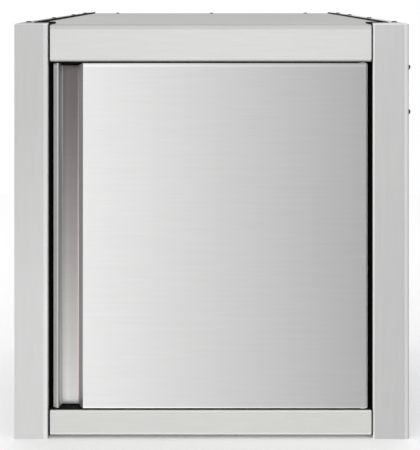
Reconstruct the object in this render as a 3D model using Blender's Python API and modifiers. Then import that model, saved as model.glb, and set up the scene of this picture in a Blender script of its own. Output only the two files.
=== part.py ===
# Stainless steel wall cabinet with a sloping top and one folded door.
# Metres, +Z up. X runs to the right, Y from the front to the wall, and the side panels stand
# on Z = 0. A depth is measured from the front plane towards the wall.

import math

import bmesh
import bpy
from mathutils import Matrix, Vector

# Overall size
WIDTH = 0.600
DEPTH = 0.400
FRONT_HEIGHT = 0.630
TOP_RISE = 0.160
SEAT = 0.0003
OVERRUN = 0.010
MERGE = 0.00002

# Folded sheet of the body
BODY_SHEET = 0.0012
BACK_SHEET = 0.0010
SIDE_BEND = 0.0025
RAIL_BEND = 0.0035
BEND_STEPS = 3
WALL_CLEARANCE = 0.0010

# Side panels: stiles, their returns and the flanges over the top and at the wall
LATCH_STILE = 0.052
HINGE_STILE = 0.055
STILE_RETURN = 0.025
SIDE_FLANGE = 0.022

# Rails folded from the top and bottom panels, set between the stiles
RAIL_JOINT = 0.0025
TOP_RAIL_DROP = 0.057
TOP_RAIL_RETURN = 0.025
BOTTOM_RAIL_LIFT = 0.0043
BOTTOM_RAIL = 0.039
BOTTOM_RAIL_RETURN = 0.015
BOTTOM_REAR_FLANGE = 0.022
RETURN_NOTCH = 0.002

# Back panel and the rail that hangs on the wall
BACK_TOP_FLANGE = 0.025
BACK_FOOT = 0.006
FIXING_RAIL_THICKNESS = 0.003
FIXING_RAIL_HEIGHT = 0.040
FIXING_RAIL_END_GAP = 0.030
FIXING_RAIL_DROP = 0.080
KEYHOLE_SPACING = 0.400
KEYHOLE_HEAD_RADIUS = 0.0065
KEYHOLE_NECK_RADIUS = 0.0035
KEYHOLE_RISE = 0.012
LOWER_FIXING_HEIGHT = 0.110
LOWER_FIXING_RADIUS = 0.0035

# Shelf, its brackets and its stiffener
SHELF_SHEET = 0.0012
SHELF_TOP = 0.310
SHELF_FRONT_DEPTH = 0.035
SHELF_REAR_CLEARANCE = 0.012
SHELF_FRONT_FOLD = 0.022
SHELF_FRONT_HEM = 0.012
SHELF_REAR_FOLD = 0.015
SHELF_SIDE_CLEARANCE = 0.0022
BRACKET_SHEET = 0.0015
BRACKET_HEIGHT = 0.020
BRACKET_REACH = 0.018
BRACKET_END_GAP = 0.008
STIFFENER_END_GAP = 0.035
STIFFENER_DROP = 0.012
STIFFENER_WEB = 0.022
STIFFENER_LIP = 0.012
FOLD_BEND = 0.0020

# Door opening and the door
LATCH_GAP = 0.0050
HINGE_GAP = 0.0065
DOOR_TOP_GAP = 0.0022
DOOR_BOTTOM_GAP = 0.0026
DOOR_THICKNESS = 0.022
DOOR_SHEET = 0.0010
DOOR_EDGE_BEND = 0.0045
DOOR_END_BEND = 0.0030
DOOR_RETURN = 0.0205

# Finger channel and lip, folded full height along the latch edge
LIP_WIDTH = 0.0110
LIP_SETBACK = 0.0020
LIP_FALL = 0.0042
CHANNEL_WIDTH = 0.0369
CHANNEL_DEPTH = 0.0160
CHANNEL_SLANT = 0.0110
CHANNEL_BEND = 0.0015
CREST_BEND = 0.0036
LIP_EDGE_BEND = 0.0017

# Inner liner and infill board of the door
LINER_SHEET = 0.0008
LINER_FLANGE = 0.0040
INFILL_SIDE_GAP = 0.0071
INFILL_PIVOT_GAP = 0.0030
INFILL_END_GAP = 0.0010

# Pivots at the hinge edge
PIVOT_EDGE = 0.0080
PIN_RADIUS = 0.0030
PIN_IN_DOOR = 0.0200
PIN_CHAMFER = 0.0006
PIN_BORE_CLEARANCE = 0.00008
PIN_HOLE_CLEARANCE = 0.0005
BUSH_WALL = 0.0019
BUSH_FLANGE_RADIUS = 0.0075
BUSH_FLANGE = 0.0012
BUSH_STAND_OUT = 0.0010
HINGE_PLATE_THICKNESS = 0.0030
HINGE_PLATE_LENGTH = 0.026
HINGE_PLATE_OUTER_SHARE = 0.42
HINGE_PLATE_FRONT = 0.0030
HINGE_PLATE_REAR = 0.0235
PIVOT_BLOCK_WIDTH = 0.0110
PIVOT_BLOCK_HEIGHT = 0.0180
PIVOT_BLOCK_FRONT_GAP = 0.0022
PIVOT_BLOCK_REAR_DEPTH = 0.0175
ROUND_STEPS = 24

# Door stops and the seals on them
STOP_SHEET = 0.0012
STOP_DEPTH = 0.0258
STOP_OVERLAP = 0.0072
LEVEL_STOP_OVERLAP = 0.0122
STOP_LEG = 0.015
STOP_INNER_BEND = 0.0008
STOP_END_GAP = 0.0015
STOP_HINGE_CLEARANCE = 0.0225
HINGE_STOP_OVERLAP = 0.0080
SEAL_MARGIN = 0.0008
SEAL_ROUNDING = 0.0009
BOTTOM_STOP_LEG = 0.016

# Magnetic catch at the top of the latch side
CATCH_MIDDLE_SHARE = -0.292
CATCH_LENGTH = 0.050
CATCH_HEIGHT = 0.035
CATCH_DEPTH = 0.0145
MAGNET_LENGTH = 0.030
MAGNET_HEIGHT = 0.013
MAGNET_DEPTH = 0.0057
MAGNET_DROP = 0.0030
STRIKE_LENGTH = 0.040
STRIKE_HEIGHT = 0.016
STRIKE_THICKNESS = 0.0015
CATCH_AIR_GAP = 0.0005
CATCH_SCREW_RADIUS = 0.0013
CATCH_SCREW_HEAD_RADIUS = 0.0026
CATCH_SCREW_HEAD_HEIGHT = 0.0018
CATCH_SCREW_SPACING = 0.040
CATCH_SCREW_DROP = 0.0050

# Blind rivets of the top
RIVET_RADIUS = 0.0016
RIVET_HEAD_RADIUS = 0.0042
RIVET_HEAD_HEIGHT = 0.0018
RIVET_DOME_SHARES = ((0, 1), (0.55, 0.86), (0.88, 0.45), (1, 0))
RIVET_TAIL_RADIUS = 0.0024
RIVET_TAIL = 0.0020
RIVET_HOLE_CLEARANCE = 0.0004
RIVET_STEPS = 12
FLANGE_RIVET_INSET = 0.009
FLANGE_RIVET_SHARES = (0.0875, 0.3750, 0.6725, 0.8900)
REAR_RIVET_INSET = 0.0140
REAR_RIVET_SHARES = (-0.74, 0.0, 0.74)

# Screws in the hinge side and the stiffener that they hold
SIDE_SCREW_RADIUS = 0.0021
SIDE_SCREW_HEAD_RADIUS = 0.0040
SIDE_SCREW_HEAD_HEIGHT = 0.0031
SCREW_DOME_SHARES = ((0, 1), (0.60, 0.94), (0.90, 0.68), (1, 0.30), (1, 0))
SIDE_SCREW_LENGTH = 0.0075
SIDE_SCREW_CLEARANCE = 0.0005
SIDE_SCREW_DEPTH = 0.0056
SIDE_SCREW_DROPS = (0.065, 0.133)
STILE_STIFFENER_DEPTH = 0.0080
STILE_STIFFENER_FRONT_GAP = 0.0004
STILE_STIFFENER_HEIGHT = 0.092
STILE_STIFFENER_DROP = 0.055

# Places that the sizes above give
SLOPE = math.atan2(TOP_RISE, DEPTH)
RAIL_BOTTOM = FRONT_HEIGHT - TOP_RAIL_DROP
FLOOR_TOP = BOTTOM_RAIL_LIFT + BOTTOM_RAIL
LATCH_STILE_EDGE = LATCH_STILE - WIDTH / 2
HINGE_STILE_EDGE = WIDTH / 2 - HINGE_STILE
RAIL_LEFT = LATCH_STILE_EDGE + RAIL_JOINT
RAIL_RIGHT = HINGE_STILE_EDGE - RAIL_JOINT
DOOR_LEFT = LATCH_STILE_EDGE + LATCH_GAP
DOOR_RIGHT = HINGE_STILE_EDGE - HINGE_GAP
DOOR_BOTTOM = FLOOR_TOP + DOOR_BOTTOM_GAP
DOOR_TOP = RAIL_BOTTOM - DOOR_TOP_GAP
CREST = DOOR_LEFT + LIP_WIDTH
FACE_LEFT = CREST + CHANNEL_WIDTH
CHANNEL_FLOOR_RIGHT = FACE_LEFT - CHANNEL_SLANT
PIVOT_X = DOOR_RIGHT - PIVOT_EDGE
PIVOT_DEPTH = DOOR_THICKNESS / 2
STOP_HINGE_END = PIVOT_X - STOP_HINGE_CLEARANCE
INNER_HALF_WIDTH = WIDTH / 2 - BODY_SHEET - WALL_CLEARANCE
BACK_REAR = DEPTH - BODY_SHEET - SEAT
BACK_FRONT = BACK_REAR - BACK_SHEET
FIXING_RAIL_MIDDLE = FRONT_HEIGHT + TOP_RISE - FIXING_RAIL_DROP
TOP_PLATE_DROP = BODY_SHEET + SEAT
BACK_FLANGE_DROP = TOP_PLATE_DROP + BODY_SHEET + SEAT


def at(x, depth, z):
    """A point from its place across, its depth behind the front plane and its height."""
    return Vector((x, depth - DEPTH / 2, z))


def top_height(depth, drop=0.0):
    """Height of the sloping top at a depth, lowered by a drop square to the slope."""
    return FRONT_HEIGHT + depth * TOP_RISE / DEPTH - drop / math.cos(SLOPE)


def clear_scene():
    for item in list(bpy.data.objects):
        bpy.data.objects.remove(item, do_unlink=True)


def new_collection(name):
    collection = bpy.data.collections.new(name)
    bpy.context.scene.collection.children.link(collection)
    return collection


def new_material(name, colour, metallic, roughness):
    material = bpy.data.materials.new(name)
    material.use_nodes = True
    shader = material.node_tree.nodes["Principled BSDF"]
    shader.inputs["Base Color"].default_value = (*colour, 1.0)
    shader.inputs["Metallic"].default_value = metallic
    shader.inputs["Roughness"].default_value = roughness
    material.diffuse_color = (*colour, 1.0)
    return material


clear_scene()
PARTS = new_collection("wall_cabinet")
CUTTERS = new_collection("cutters")

BRUSHED_STEEL = new_material("brushed_steel", (0.60, 0.60, 0.59), 1.0, 0.32)
DOOR_STEEL = new_material("door_steel", (0.66, 0.66, 0.65), 1.0, 0.28)
BRIGHT_STEEL = new_material("bright_steel", (0.42, 0.42, 0.42), 1.0, 0.22)
PIN_STEEL = new_material("pin_steel", (0.50, 0.50, 0.50), 1.0, 0.18)
BLACK_RUBBER = new_material("black_rubber", (0.012, 0.012, 0.012), 0.0, 0.75)
BLACK_PLASTIC = new_material("black_plastic", (0.02, 0.02, 0.02), 0.0, 0.45)
WHITE_NYLON = new_material("white_nylon", (0.80, 0.79, 0.75), 0.0, 0.40)
MAGNET_FERRITE = new_material("magnet_ferrite", (0.05, 0.05, 0.055), 0.3, 0.55)
INFILL_BOARD = new_material("infill_board", (0.45, 0.36, 0.25), 0.0, 0.90)


def add_part(name, bm, material):
    """Makes an object of a mesh, with its origin at the middle of its vertices."""
    points = [vertex.co for vertex in bm.verts]
    low = Vector([min(point[axis] for point in points) for axis in range(3)])
    high = Vector([max(point[axis] for point in points) for axis in range(3)])
    middle = (low + high) / 2
    bmesh.ops.translate(bm, verts=bm.verts, vec=-middle)
    mesh = bpy.data.meshes.new(name)
    bm.to_mesh(mesh)
    bm.free()
    mesh.materials.append(material)
    part = bpy.data.objects.new(name, mesh)
    part.location = middle
    PARTS.objects.link(part)
    return part


def cut(part, name, bm):
    """Cuts the closed bodies of a mesh out of a part."""
    mesh = bpy.data.meshes.new(name)
    bm.to_mesh(mesh)
    bm.free()
    cutter = bpy.data.objects.new(name, mesh)
    cutter.hide_render = True
    cutter.display_type = "WIRE"
    CUTTERS.objects.link(cutter)
    boolean = part.modifiers.new(name, "BOOLEAN")
    boolean.operation = "DIFFERENCE"
    boolean.solver = "EXACT"
    boolean.object = cutter


def vertex_at(bm, point):
    """The vertex of a mesh at a point, made if it isn't there."""
    for vertex in bm.verts:
        if (vertex.co - point).length < MERGE:
            return vertex
    return bm.verts.new(point)


def folded_sheet(name, near, far, bends, thickness, outside, material, closures=()):
    """A sheet folded along a section, from its line of corners at one end to that at the other.

    bends holds the bend at each inner corner of the section. Each closure is a flat face, given
    by its corners and the bend of each of its edges, that shares its corners with the sheet's.
    outside is the way that the first face looks, and the thickness goes the other way.
    """
    bm = bmesh.new()
    bend_share = bm.edges.layers.float.new("bevel_weight_edge")
    largest = max(bends)
    row = [bm.verts.new(point) for point in near]
    section = [bm.edges.new(pair) for pair in zip(row, row[1:])]
    bmesh.ops.extrude_edge_only(bm, edges=section)
    for vertex, end in zip(row, far):
        sweep = next(edge for edge in vertex.link_edges if edge.other_vert(vertex) not in row)
        sweep.other_vert(vertex).co = end
    for vertex, bend in zip(row[1:-1], bends):
        fold = next(edge for edge in vertex.link_edges if edge.other_vert(vertex) not in row)
        fold[bend_share] = bend / largest
    for corners, edge_bends in closures:
        face = bm.faces.new([vertex_at(bm, corner) for corner in corners])
        for loop, bend in zip(face.loops, edge_bends):
            loop.edge[bend_share] = bend / largest
    bmesh.ops.recalc_face_normals(bm, faces=bm.faces)
    bm.faces.ensure_lookup_table()
    first = next(face for face in bm.faces if row[0] in face.verts and row[1] in face.verts)
    first.normal_update()
    if first.normal.dot(outside) < 0:
        bmesh.ops.reverse_faces(bm, faces=bm.faces)
    part = add_part(name, bm, material)
    bevel = part.modifiers.new("bends", "BEVEL")
    bevel.limit_method = "WEIGHT"
    bevel.width = largest
    bevel.segments = BEND_STEPS
    bevel.use_clamp_overlap = False
    sheet = part.modifiers.new("sheet", "SOLIDIFY")
    sheet.thickness = thickness
    sheet.offset = -1.0
    sheet.use_even_offset = True
    return part


def across(section, left, right):
    """The two ends of a section of (depth, height) points that runs from left to right."""
    near = [at(left, depth, z) for depth, z in section]
    far = [at(right, depth, z) for depth, z in section]
    return near, far


def upright(plan, bottom, top):
    """The two ends of a section of (x, depth) points that stands from bottom to top."""
    near = [at(x, depth, bottom) for x, depth in plan]
    far = [at(x, depth, top) for x, depth in plan]
    return near, far


def add_box(bm, low, high):
    """Adds a box between two corners, each from at()."""
    middle = (low + high) / 2
    size = high - low
    place = Matrix.Translation(middle) @ Matrix.Diagonal((*size, 1.0))
    return bmesh.ops.create_cube(bm, size=1.0, matrix=place)["verts"]


def block(name, low, high, material, rounding=0.0):
    """A box-shaped part between two corners, with rounded edges if asked."""
    bm = bmesh.new()
    add_box(bm, low, high)
    part = add_part(name, bm, material)
    if rounding > 0:
        bevel = part.modifiers.new("rounding", "BEVEL")
        bevel.width = rounding
        bevel.segments = 2
    return part


def add_rod(bm, start, end, radius, steps):
    """Adds a closed round rod between two points."""
    along = end - start
    turn = along.to_track_quat("Z", "Y").to_matrix().to_4x4()
    place = Matrix.Translation((start + end) / 2) @ turn
    bmesh.ops.create_cone(
        bm, cap_ends=True, segments=steps, radius1=radius, radius2=radius,
        depth=along.length, matrix=place,
    )


def turned(name, profile, steps, place, turn, material, ring=False):
    """A turned piece: a profile of (radius, height) points, top to bottom down its outer side,
    spun about Z and set at a place with a turn. A ring's profile closes on itself."""
    mesh = bpy.data.meshes.new(name)
    count = len(profile)
    lines = [(index, (index + 1) % count) for index in range(count if ring else count - 1)]
    mesh.from_pydata([(radius, 0, height) for radius, height in profile], lines, [])
    mesh.materials.append(material)
    part = bpy.data.objects.new(name, mesh)
    part.location = place
    part.rotation_euler = turn
    PARTS.objects.link(part)
    screw = part.modifiers.new("spin", "SCREW")
    screw.steps = steps
    screw.render_steps = steps
    screw.use_merge_vertices = True
    screw.merge_threshold = MERGE
    return part


def domed(shares, radius, height):
    """The profile of a domed head, from its middle down to its seat."""
    return [(radius * across_share, height * up_share) for across_share, up_share in shares]


def flange_rivet_places(hand):
    """Where the rivets stand on the sloping flange of a side panel."""
    x = hand * (WIDTH / 2 - FLANGE_RIVET_INSET)
    depths = [share * DEPTH for share in FLANGE_RIVET_SHARES]
    return [at(x, depth, top_height(depth)) for depth in depths]


def rear_rivet_places():
    """Where the rivets stand on the top panel along its rear edge."""
    depth = DEPTH - REAR_RIVET_INSET
    height = top_height(depth, TOP_PLATE_DROP)
    return [at(share * WIDTH / 2, depth, height) for share in REAR_RIVET_SHARES]


def off_slope(length):
    """A step of a length square to the sloping top."""
    return Matrix.Rotation(SLOPE, 3, "X") @ Vector((0, 0, length))


def add_slope_holes(bm, places, radius):
    """Adds a rod square to the slope through each place."""
    reach = off_slope(OVERRUN)
    for place in places:
        add_rod(bm, place - reach, place + reach, radius, RIVET_STEPS)


def side_screw_places():
    """Where the screws meet the outside of the hinge side."""
    return [at(WIDTH / 2, SIDE_SCREW_DEPTH, FRONT_HEIGHT - drop) for drop in SIDE_SCREW_DROPS]


def side_panel(name, hand, stile):
    """A side wall folded into its stile, the stile's return and the rear flange. The sloping
    flange closes the corner over the stile and lies over the top panel."""
    outer = hand * WIDTH / 2
    inner = outer - hand * stile
    flange = outer - hand * SIDE_FLANGE
    plan = [(inner, STILE_RETURN), (inner, 0), (outer, 0), (outer, DEPTH), (flange, DEPTH)]
    near = [at(x, depth, 0) for x, depth in plan]
    far = [at(x, depth, top_height(depth)) for x, depth in plan]
    flange_corner = at(flange, STILE_RETURN, top_height(STILE_RETURN))
    closure = ([*far, flange_corner], [SIDE_BEND] * 4)
    panel = folded_sheet(
        name, near, far, [SIDE_BEND] * 3, BODY_SHEET, Vector((-hand, 0, 0)), BRUSHED_STEEL,
        closures=[closure],
    )
    holes = bmesh.new()
    add_slope_holes(holes, flange_rivet_places(hand), RIVET_RADIUS + RIVET_HOLE_CLEARANCE)
    cut(panel, f"{name}_holes", holes)
    return panel


def left_side_panel():
    side_panel("left_side_panel", -1, LATCH_STILE)


def right_side_panel():
    panel = side_panel("right_side_panel", 1, HINGE_STILE)
    holes = bmesh.new()
    reach = Vector((OVERRUN, 0, 0))
    for place in side_screw_places():
        add_rod(holes, place - reach, place + reach,
                SIDE_SCREW_RADIUS + SIDE_SCREW_CLEARANCE, RIVET_STEPS)
    cut(panel, "side_screw_holes", holes)


def add_corner_notches(bm, bottom, top):
    """Adds the boxes that free a panel's front corners from the stiles and their returns."""
    back = STILE_RETURN + RETURN_NOTCH
    outside = WIDTH / 2 + OVERRUN
    add_box(bm, at(-outside, -OVERRUN, bottom), at(RAIL_LEFT, back, top))
    add_box(bm, at(RAIL_RIGHT, -OVERRUN, bottom), at(outside, back, top))


def top_panel():
    """The sloping top, its front folded down into the top rail and back under it."""
    section = [
        (TOP_RAIL_RETURN, RAIL_BOTTOM),
        (0, RAIL_BOTTOM),
        (0, top_height(0, TOP_PLATE_DROP)),
        (BACK_FRONT - SEAT, top_height(BACK_FRONT - SEAT, TOP_PLATE_DROP)),
    ]
    near, far = across(section, -INNER_HALF_WIDTH, INNER_HALF_WIDTH)
    panel = folded_sheet("top_panel", near, far, [RAIL_BEND] * 2, BODY_SHEET,
                         Vector((0, 0, -1)), BRUSHED_STEEL)
    holes = bmesh.new()
    add_corner_notches(holes, RAIL_BOTTOM - OVERRUN, top_height(STILE_RETURN) + OVERRUN)
    cut(panel, "top_corner_notches", holes)
    holes = bmesh.new()
    add_slope_holes(holes, [*flange_rivet_places(-1), *flange_rivet_places(1)],
                    RIVET_RADIUS + RIVET_HOLE_CLEARANCE)
    add_slope_holes(holes, rear_rivet_places(), RIVET_RADIUS + RIVET_HOLE_CLEARANCE)
    cut(panel, "top_rivet_holes", holes)
    holes = bmesh.new()
    add_rod(holes, at(PIVOT_X, PIVOT_DEPTH, RAIL_BOTTOM - OVERRUN),
            at(PIVOT_X, PIVOT_DEPTH, RAIL_BOTTOM + OVERRUN), bush_radius() + SEAT, ROUND_STEPS)
    cut(panel, "top_bush_hole", holes)


def bottom_panel():
    """The floor, its front folded down into the bottom rail, its rear folded down at the wall."""
    section = [
        (BOTTOM_RAIL_RETURN, BOTTOM_RAIL_LIFT),
        (0, BOTTOM_RAIL_LIFT),
        (0, FLOOR_TOP),
        (BACK_FRONT - SEAT, FLOOR_TOP),
        (BACK_FRONT - SEAT, FLOOR_TOP - BOTTOM_REAR_FLANGE),
    ]
    near, far = across(section, -INNER_HALF_WIDTH, INNER_HALF_WIDTH)
    panel = folded_sheet("bottom_panel", near, far, [RAIL_BEND] * 3, BODY_SHEET,
                         Vector((0, 0, -1)), BRUSHED_STEEL)
    holes = bmesh.new()
    add_corner_notches(holes, -OVERRUN, FLOOR_TOP + OVERRUN)
    cut(panel, "bottom_corner_notches", holes)
    holes = bmesh.new()
    add_rod(holes, at(PIVOT_X, PIVOT_DEPTH, FLOOR_TOP - OVERRUN),
            at(PIVOT_X, PIVOT_DEPTH, FLOOR_TOP + OVERRUN), bush_radius() + SEAT, ROUND_STEPS)
    cut(panel, "bottom_bush_hole", holes)


def add_fixing_holes(bm):
    """Adds the keyholes that hang the cabinet on two wall screws."""
    for x in (-KEYHOLE_SPACING / 2, KEYHOLE_SPACING / 2):
        for height, radius in ((FIXING_RAIL_MIDDLE - KEYHOLE_RISE / 2, KEYHOLE_HEAD_RADIUS),
                               (FIXING_RAIL_MIDDLE + KEYHOLE_RISE / 2, KEYHOLE_NECK_RADIUS)):
            add_rod(bm, at(x, BACK_FRONT - OVERRUN, height), at(x, BACK_REAR + OVERRUN, height),
                    radius, ROUND_STEPS)


def add_keyhole_necks(bm):
    """Adds the slots that join each keyhole's head to its neck."""
    for x in (-KEYHOLE_SPACING / 2, KEYHOLE_SPACING / 2):
        add_box(bm, at(x - KEYHOLE_NECK_RADIUS, BACK_FRONT - OVERRUN,
                       FIXING_RAIL_MIDDLE - KEYHOLE_RISE / 2),
                at(x + KEYHOLE_NECK_RADIUS, BACK_REAR + OVERRUN,
                   FIXING_RAIL_MIDDLE + KEYHOLE_RISE / 2))


def cut_keyholes(part, name):
    holes = bmesh.new()
    add_fixing_holes(holes)
    cut(part, f"{name}_rounds", holes)
    necks = bmesh.new()
    add_keyhole_necks(necks)
    cut(part, f"{name}_necks", necks)


def back_panel():
    """The back, its upper edge folded forward under the sloping top."""
    front = BACK_REAR - BACK_TOP_FLANGE
    section = [
        (front, top_height(front, BACK_FLANGE_DROP)),
        (BACK_REAR, top_height(BACK_REAR, BACK_FLANGE_DROP)),
        (BACK_REAR, BACK_FOOT),
    ]
    near, far = across(section, -INNER_HALF_WIDTH, INNER_HALF_WIDTH)
    panel = folded_sheet("back_panel", near, far, [SIDE_BEND], BACK_SHEET,
                         Vector((0, 0, 1)), BRUSHED_STEEL)
    cut_keyholes(panel, "back_keyholes")
    holes = bmesh.new()
    add_slope_holes(holes, rear_rivet_places(), RIVET_RADIUS + RIVET_HOLE_CLEARANCE)
    for x in (-KEYHOLE_SPACING / 2, KEYHOLE_SPACING / 2):
        add_rod(holes, at(x, BACK_FRONT - OVERRUN, LOWER_FIXING_HEIGHT),
                at(x, BACK_REAR + OVERRUN, LOWER_FIXING_HEIGHT), LOWER_FIXING_RADIUS,
                ROUND_STEPS)
    cut(panel, "back_holes", holes)


def wall_fixing_rail():
    """A flat bar inside the back that carries the load to the wall screws."""
    rear = BACK_FRONT - SEAT
    half = WIDTH / 2 - FIXING_RAIL_END_GAP
    rail = block(
        "wall_fixing_rail",
        at(-half, rear - FIXING_RAIL_THICKNESS, FIXING_RAIL_MIDDLE - FIXING_RAIL_HEIGHT / 2),
        at(half, rear, FIXING_RAIL_MIDDLE + FIXING_RAIL_HEIGHT / 2),
        BRIGHT_STEEL,
    )
    cut_keyholes(rail, "rail_keyholes")


def shelf_rear():
    return BACK_FRONT - SHELF_REAR_CLEARANCE


def shelf():
    """The shelf, folded down and hemmed at the front and folded down at the rear."""
    half = WIDTH / 2 - BODY_SHEET - SHELF_SIDE_CLEARANCE
    section = [
        (SHELF_FRONT_DEPTH + SHELF_FRONT_HEM, SHELF_TOP - SHELF_FRONT_FOLD),
        (SHELF_FRONT_DEPTH, SHELF_TOP - SHELF_FRONT_FOLD),
        (SHELF_FRONT_DEPTH, SHELF_TOP),
        (shelf_rear(), SHELF_TOP),
        (shelf_rear(), SHELF_TOP - SHELF_REAR_FOLD),
    ]
    near, far = across(section, -half, half)
    folded_sheet("shelf", near, far, [FOLD_BEND] * 3, SHELF_SHEET, Vector((0, 0, -1)),
                 BRUSHED_STEEL)


def shelf_bracket(name, hand):
    """An angle on the side wall, its level leg under the shelf."""
    wall = hand * (WIDTH / 2 - BODY_SHEET - SEAT)
    seat = SHELF_TOP - SHELF_SHEET - SEAT
    section = [(wall, seat - BRACKET_HEIGHT), (wall, seat), (wall - hand * BRACKET_REACH, seat)]
    front = SHELF_FRONT_DEPTH + SHELF_FRONT_HEM + BRACKET_END_GAP
    rear = shelf_rear() - SHELF_SHEET - BRACKET_END_GAP
    near = [at(x, front, z) for x, z in section]
    far = [at(x, rear, z) for x, z in section]
    folded_sheet(name, near, far, [FOLD_BEND], BRACKET_SHEET, Vector((hand, 0, 0)), BRIGHT_STEEL)


def shelf_stiffener():
    """A hat section under the middle of the shelf."""
    seat = SHELF_TOP - SHELF_SHEET - SEAT
    middle = (SHELF_FRONT_DEPTH + shelf_rear()) / 2
    web = STIFFENER_WEB / 2
    lip = web + STIFFENER_LIP
    half = WIDTH / 2 - STIFFENER_END_GAP
    section = [
        (middle - lip, seat),
        (middle - web, seat),
        (middle - web, seat - STIFFENER_DROP),
        (middle + web, seat - STIFFENER_DROP),
        (middle + web, seat),
        (middle + lip, seat),
    ]
    near, far = across(section, -half, half)
    folded_sheet("shelf_stiffener", near, far, [FOLD_BEND] * 4, SHELF_SHEET,
                 Vector((0, 0, 1)), BRUSHED_STEEL)


def latch_stop_strip():
    """An angle inside the latch stile's return, its leg behind the door's free edge."""
    root = LATCH_STILE_EDGE - BODY_SHEET - SEAT
    plan = [(root, STOP_DEPTH - STOP_LEG), (root, STOP_DEPTH), (DOOR_LEFT + STOP_OVERLAP, STOP_DEPTH)]
    near, far = upright(plan, FLOOR_TOP + STOP_END_GAP, RAIL_BOTTOM - STOP_END_GAP)
    folded_sheet("latch_stop_strip", near, far, [STOP_INNER_BEND], STOP_SHEET,
                 Vector((1, 0, 0)), BRUSHED_STEEL)


def hinge_stop_strip():
    """An angle inside the hinge stile's return that closes the gap behind the hinge edge."""
    root = HINGE_STILE_EDGE + BODY_SHEET + SEAT
    plan = [
        (root, STOP_DEPTH - STOP_LEG),
        (root, STOP_DEPTH),
        (DOOR_RIGHT - HINGE_STOP_OVERLAP, STOP_DEPTH),
    ]
    near, far = upright(plan, FLOOR_TOP + STOP_END_GAP, RAIL_BOTTOM - STOP_END_GAP)
    folded_sheet("hinge_stop_strip", near, far, [STOP_INNER_BEND], STOP_SHEET,
                 Vector((-1, 0, 0)), BRUSHED_STEEL)


def stop_left():
    """Where the level stops start, beside the latch stop."""
    return DOOR_LEFT + STOP_OVERLAP + STOP_END_GAP


def top_stop_strip():
    """An angle on the top rail's return, its leg hanging behind the door's upper edge."""
    seat = RAIL_BOTTOM + BODY_SHEET + SEAT
    section = [
        (STOP_DEPTH - STOP_LEG, seat),
        (STOP_DEPTH, seat),
        (STOP_DEPTH, DOOR_TOP - LEVEL_STOP_OVERLAP),
    ]
    near, far = across(section, stop_left(), STOP_HINGE_END)
    folded_sheet("top_stop_strip", near, far, [STOP_INNER_BEND], STOP_SHEET,
                 Vector((0, 0, -1)), BRUSHED_STEEL)


def bottom_stop_strip():
    """An angle on the floor, its leg standing behind the door's lower edge."""
    seat = FLOOR_TOP + SEAT
    section = [
        (STOP_DEPTH + BOTTOM_STOP_LEG, seat),
        (STOP_DEPTH, seat),
        (STOP_DEPTH, DOOR_BOTTOM + LEVEL_STOP_OVERLAP),
    ]
    near, far = across(section, stop_left(), STOP_HINGE_END)
    folded_sheet("bottom_stop_strip", near, far, [FOLD_BEND], STOP_SHEET, Vector((0, 0, -1)),
                 BRUSHED_STEEL)


def door_seals():
    """Black rubber strips between the stops and the door's rear face."""
    front = DOOR_THICKNESS + SEAT
    rear = STOP_DEPTH - SEAT
    low = DOOR_BOTTOM + SEAL_MARGIN
    high = DOOR_TOP - SEAL_MARGIN
    left = DOOR_LEFT + SEAL_MARGIN
    overlap = STOP_OVERLAP - SEAL_MARGIN
    level_left = stop_left() + SEAT
    block("latch_seal", at(left, front, low), at(left + overlap, rear, high), BLACK_RUBBER,
          SEAL_ROUNDING)
    block("top_seal", at(level_left, front, high - overlap),
          at(STOP_HINGE_END - SEAT, rear, high), BLACK_RUBBER, SEAL_ROUNDING)
    block("bottom_seal", at(level_left, front, low),
          at(STOP_HINGE_END - SEAT, rear, low + overlap), BLACK_RUBBER, SEAL_ROUNDING)


def bush_radius():
    return PIN_RADIUS + PIN_BORE_CLEARANCE + BUSH_WALL


def hinge_plate(name, bottom):
    """A thick plate behind a rail that holds the pivot bush."""
    right = PIVOT_X + HINGE_PLATE_LENGTH * HINGE_PLATE_OUTER_SHARE
    plate = block(name, at(right - HINGE_PLATE_LENGTH, HINGE_PLATE_FRONT, bottom),
                  at(right, HINGE_PLATE_REAR, bottom + HINGE_PLATE_THICKNESS), BRIGHT_STEEL)
    hole = bmesh.new()
    add_rod(hole, at(PIVOT_X, PIVOT_DEPTH, bottom - OVERRUN),
            at(PIVOT_X, PIVOT_DEPTH, bottom + HINGE_PLATE_THICKNESS + OVERRUN),
            bush_radius() + SEAT, ROUND_STEPS)
    cut(plate, f"{name}_bore", hole)


def hinge_plates():
    hinge_plate("upper_hinge_plate", RAIL_BOTTOM + BODY_SHEET + SEAT)
    hinge_plate("lower_hinge_plate", FLOOR_TOP - BODY_SHEET - SEAT - HINGE_PLATE_THICKNESS)


def pivot_bushes():
    """Flanged nylon bushes, the flange towards the door."""
    bore = PIN_RADIUS + PIN_BORE_CLEARANCE
    body = BODY_SHEET + HINGE_PLATE_THICKNESS + 2 * SEAT + BUSH_STAND_OUT
    profile = [
        (bore, BUSH_FLANGE),
        (BUSH_FLANGE_RADIUS, BUSH_FLANGE),
        (BUSH_FLANGE_RADIUS, 0),
        (bush_radius(), 0),
        (bush_radius(), -body),
        (bore, -body),
    ]
    turned("lower_pivot_bush", profile, ROUND_STEPS, at(PIVOT_X, PIVOT_DEPTH, FLOOR_TOP + SEAT),
           (0, 0, 0), WHITE_NYLON, ring=True)
    turned("upper_pivot_bush", profile, ROUND_STEPS, at(PIVOT_X, PIVOT_DEPTH, RAIL_BOTTOM - SEAT),
           (math.pi, 0, 0), WHITE_NYLON, ring=True)


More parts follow.
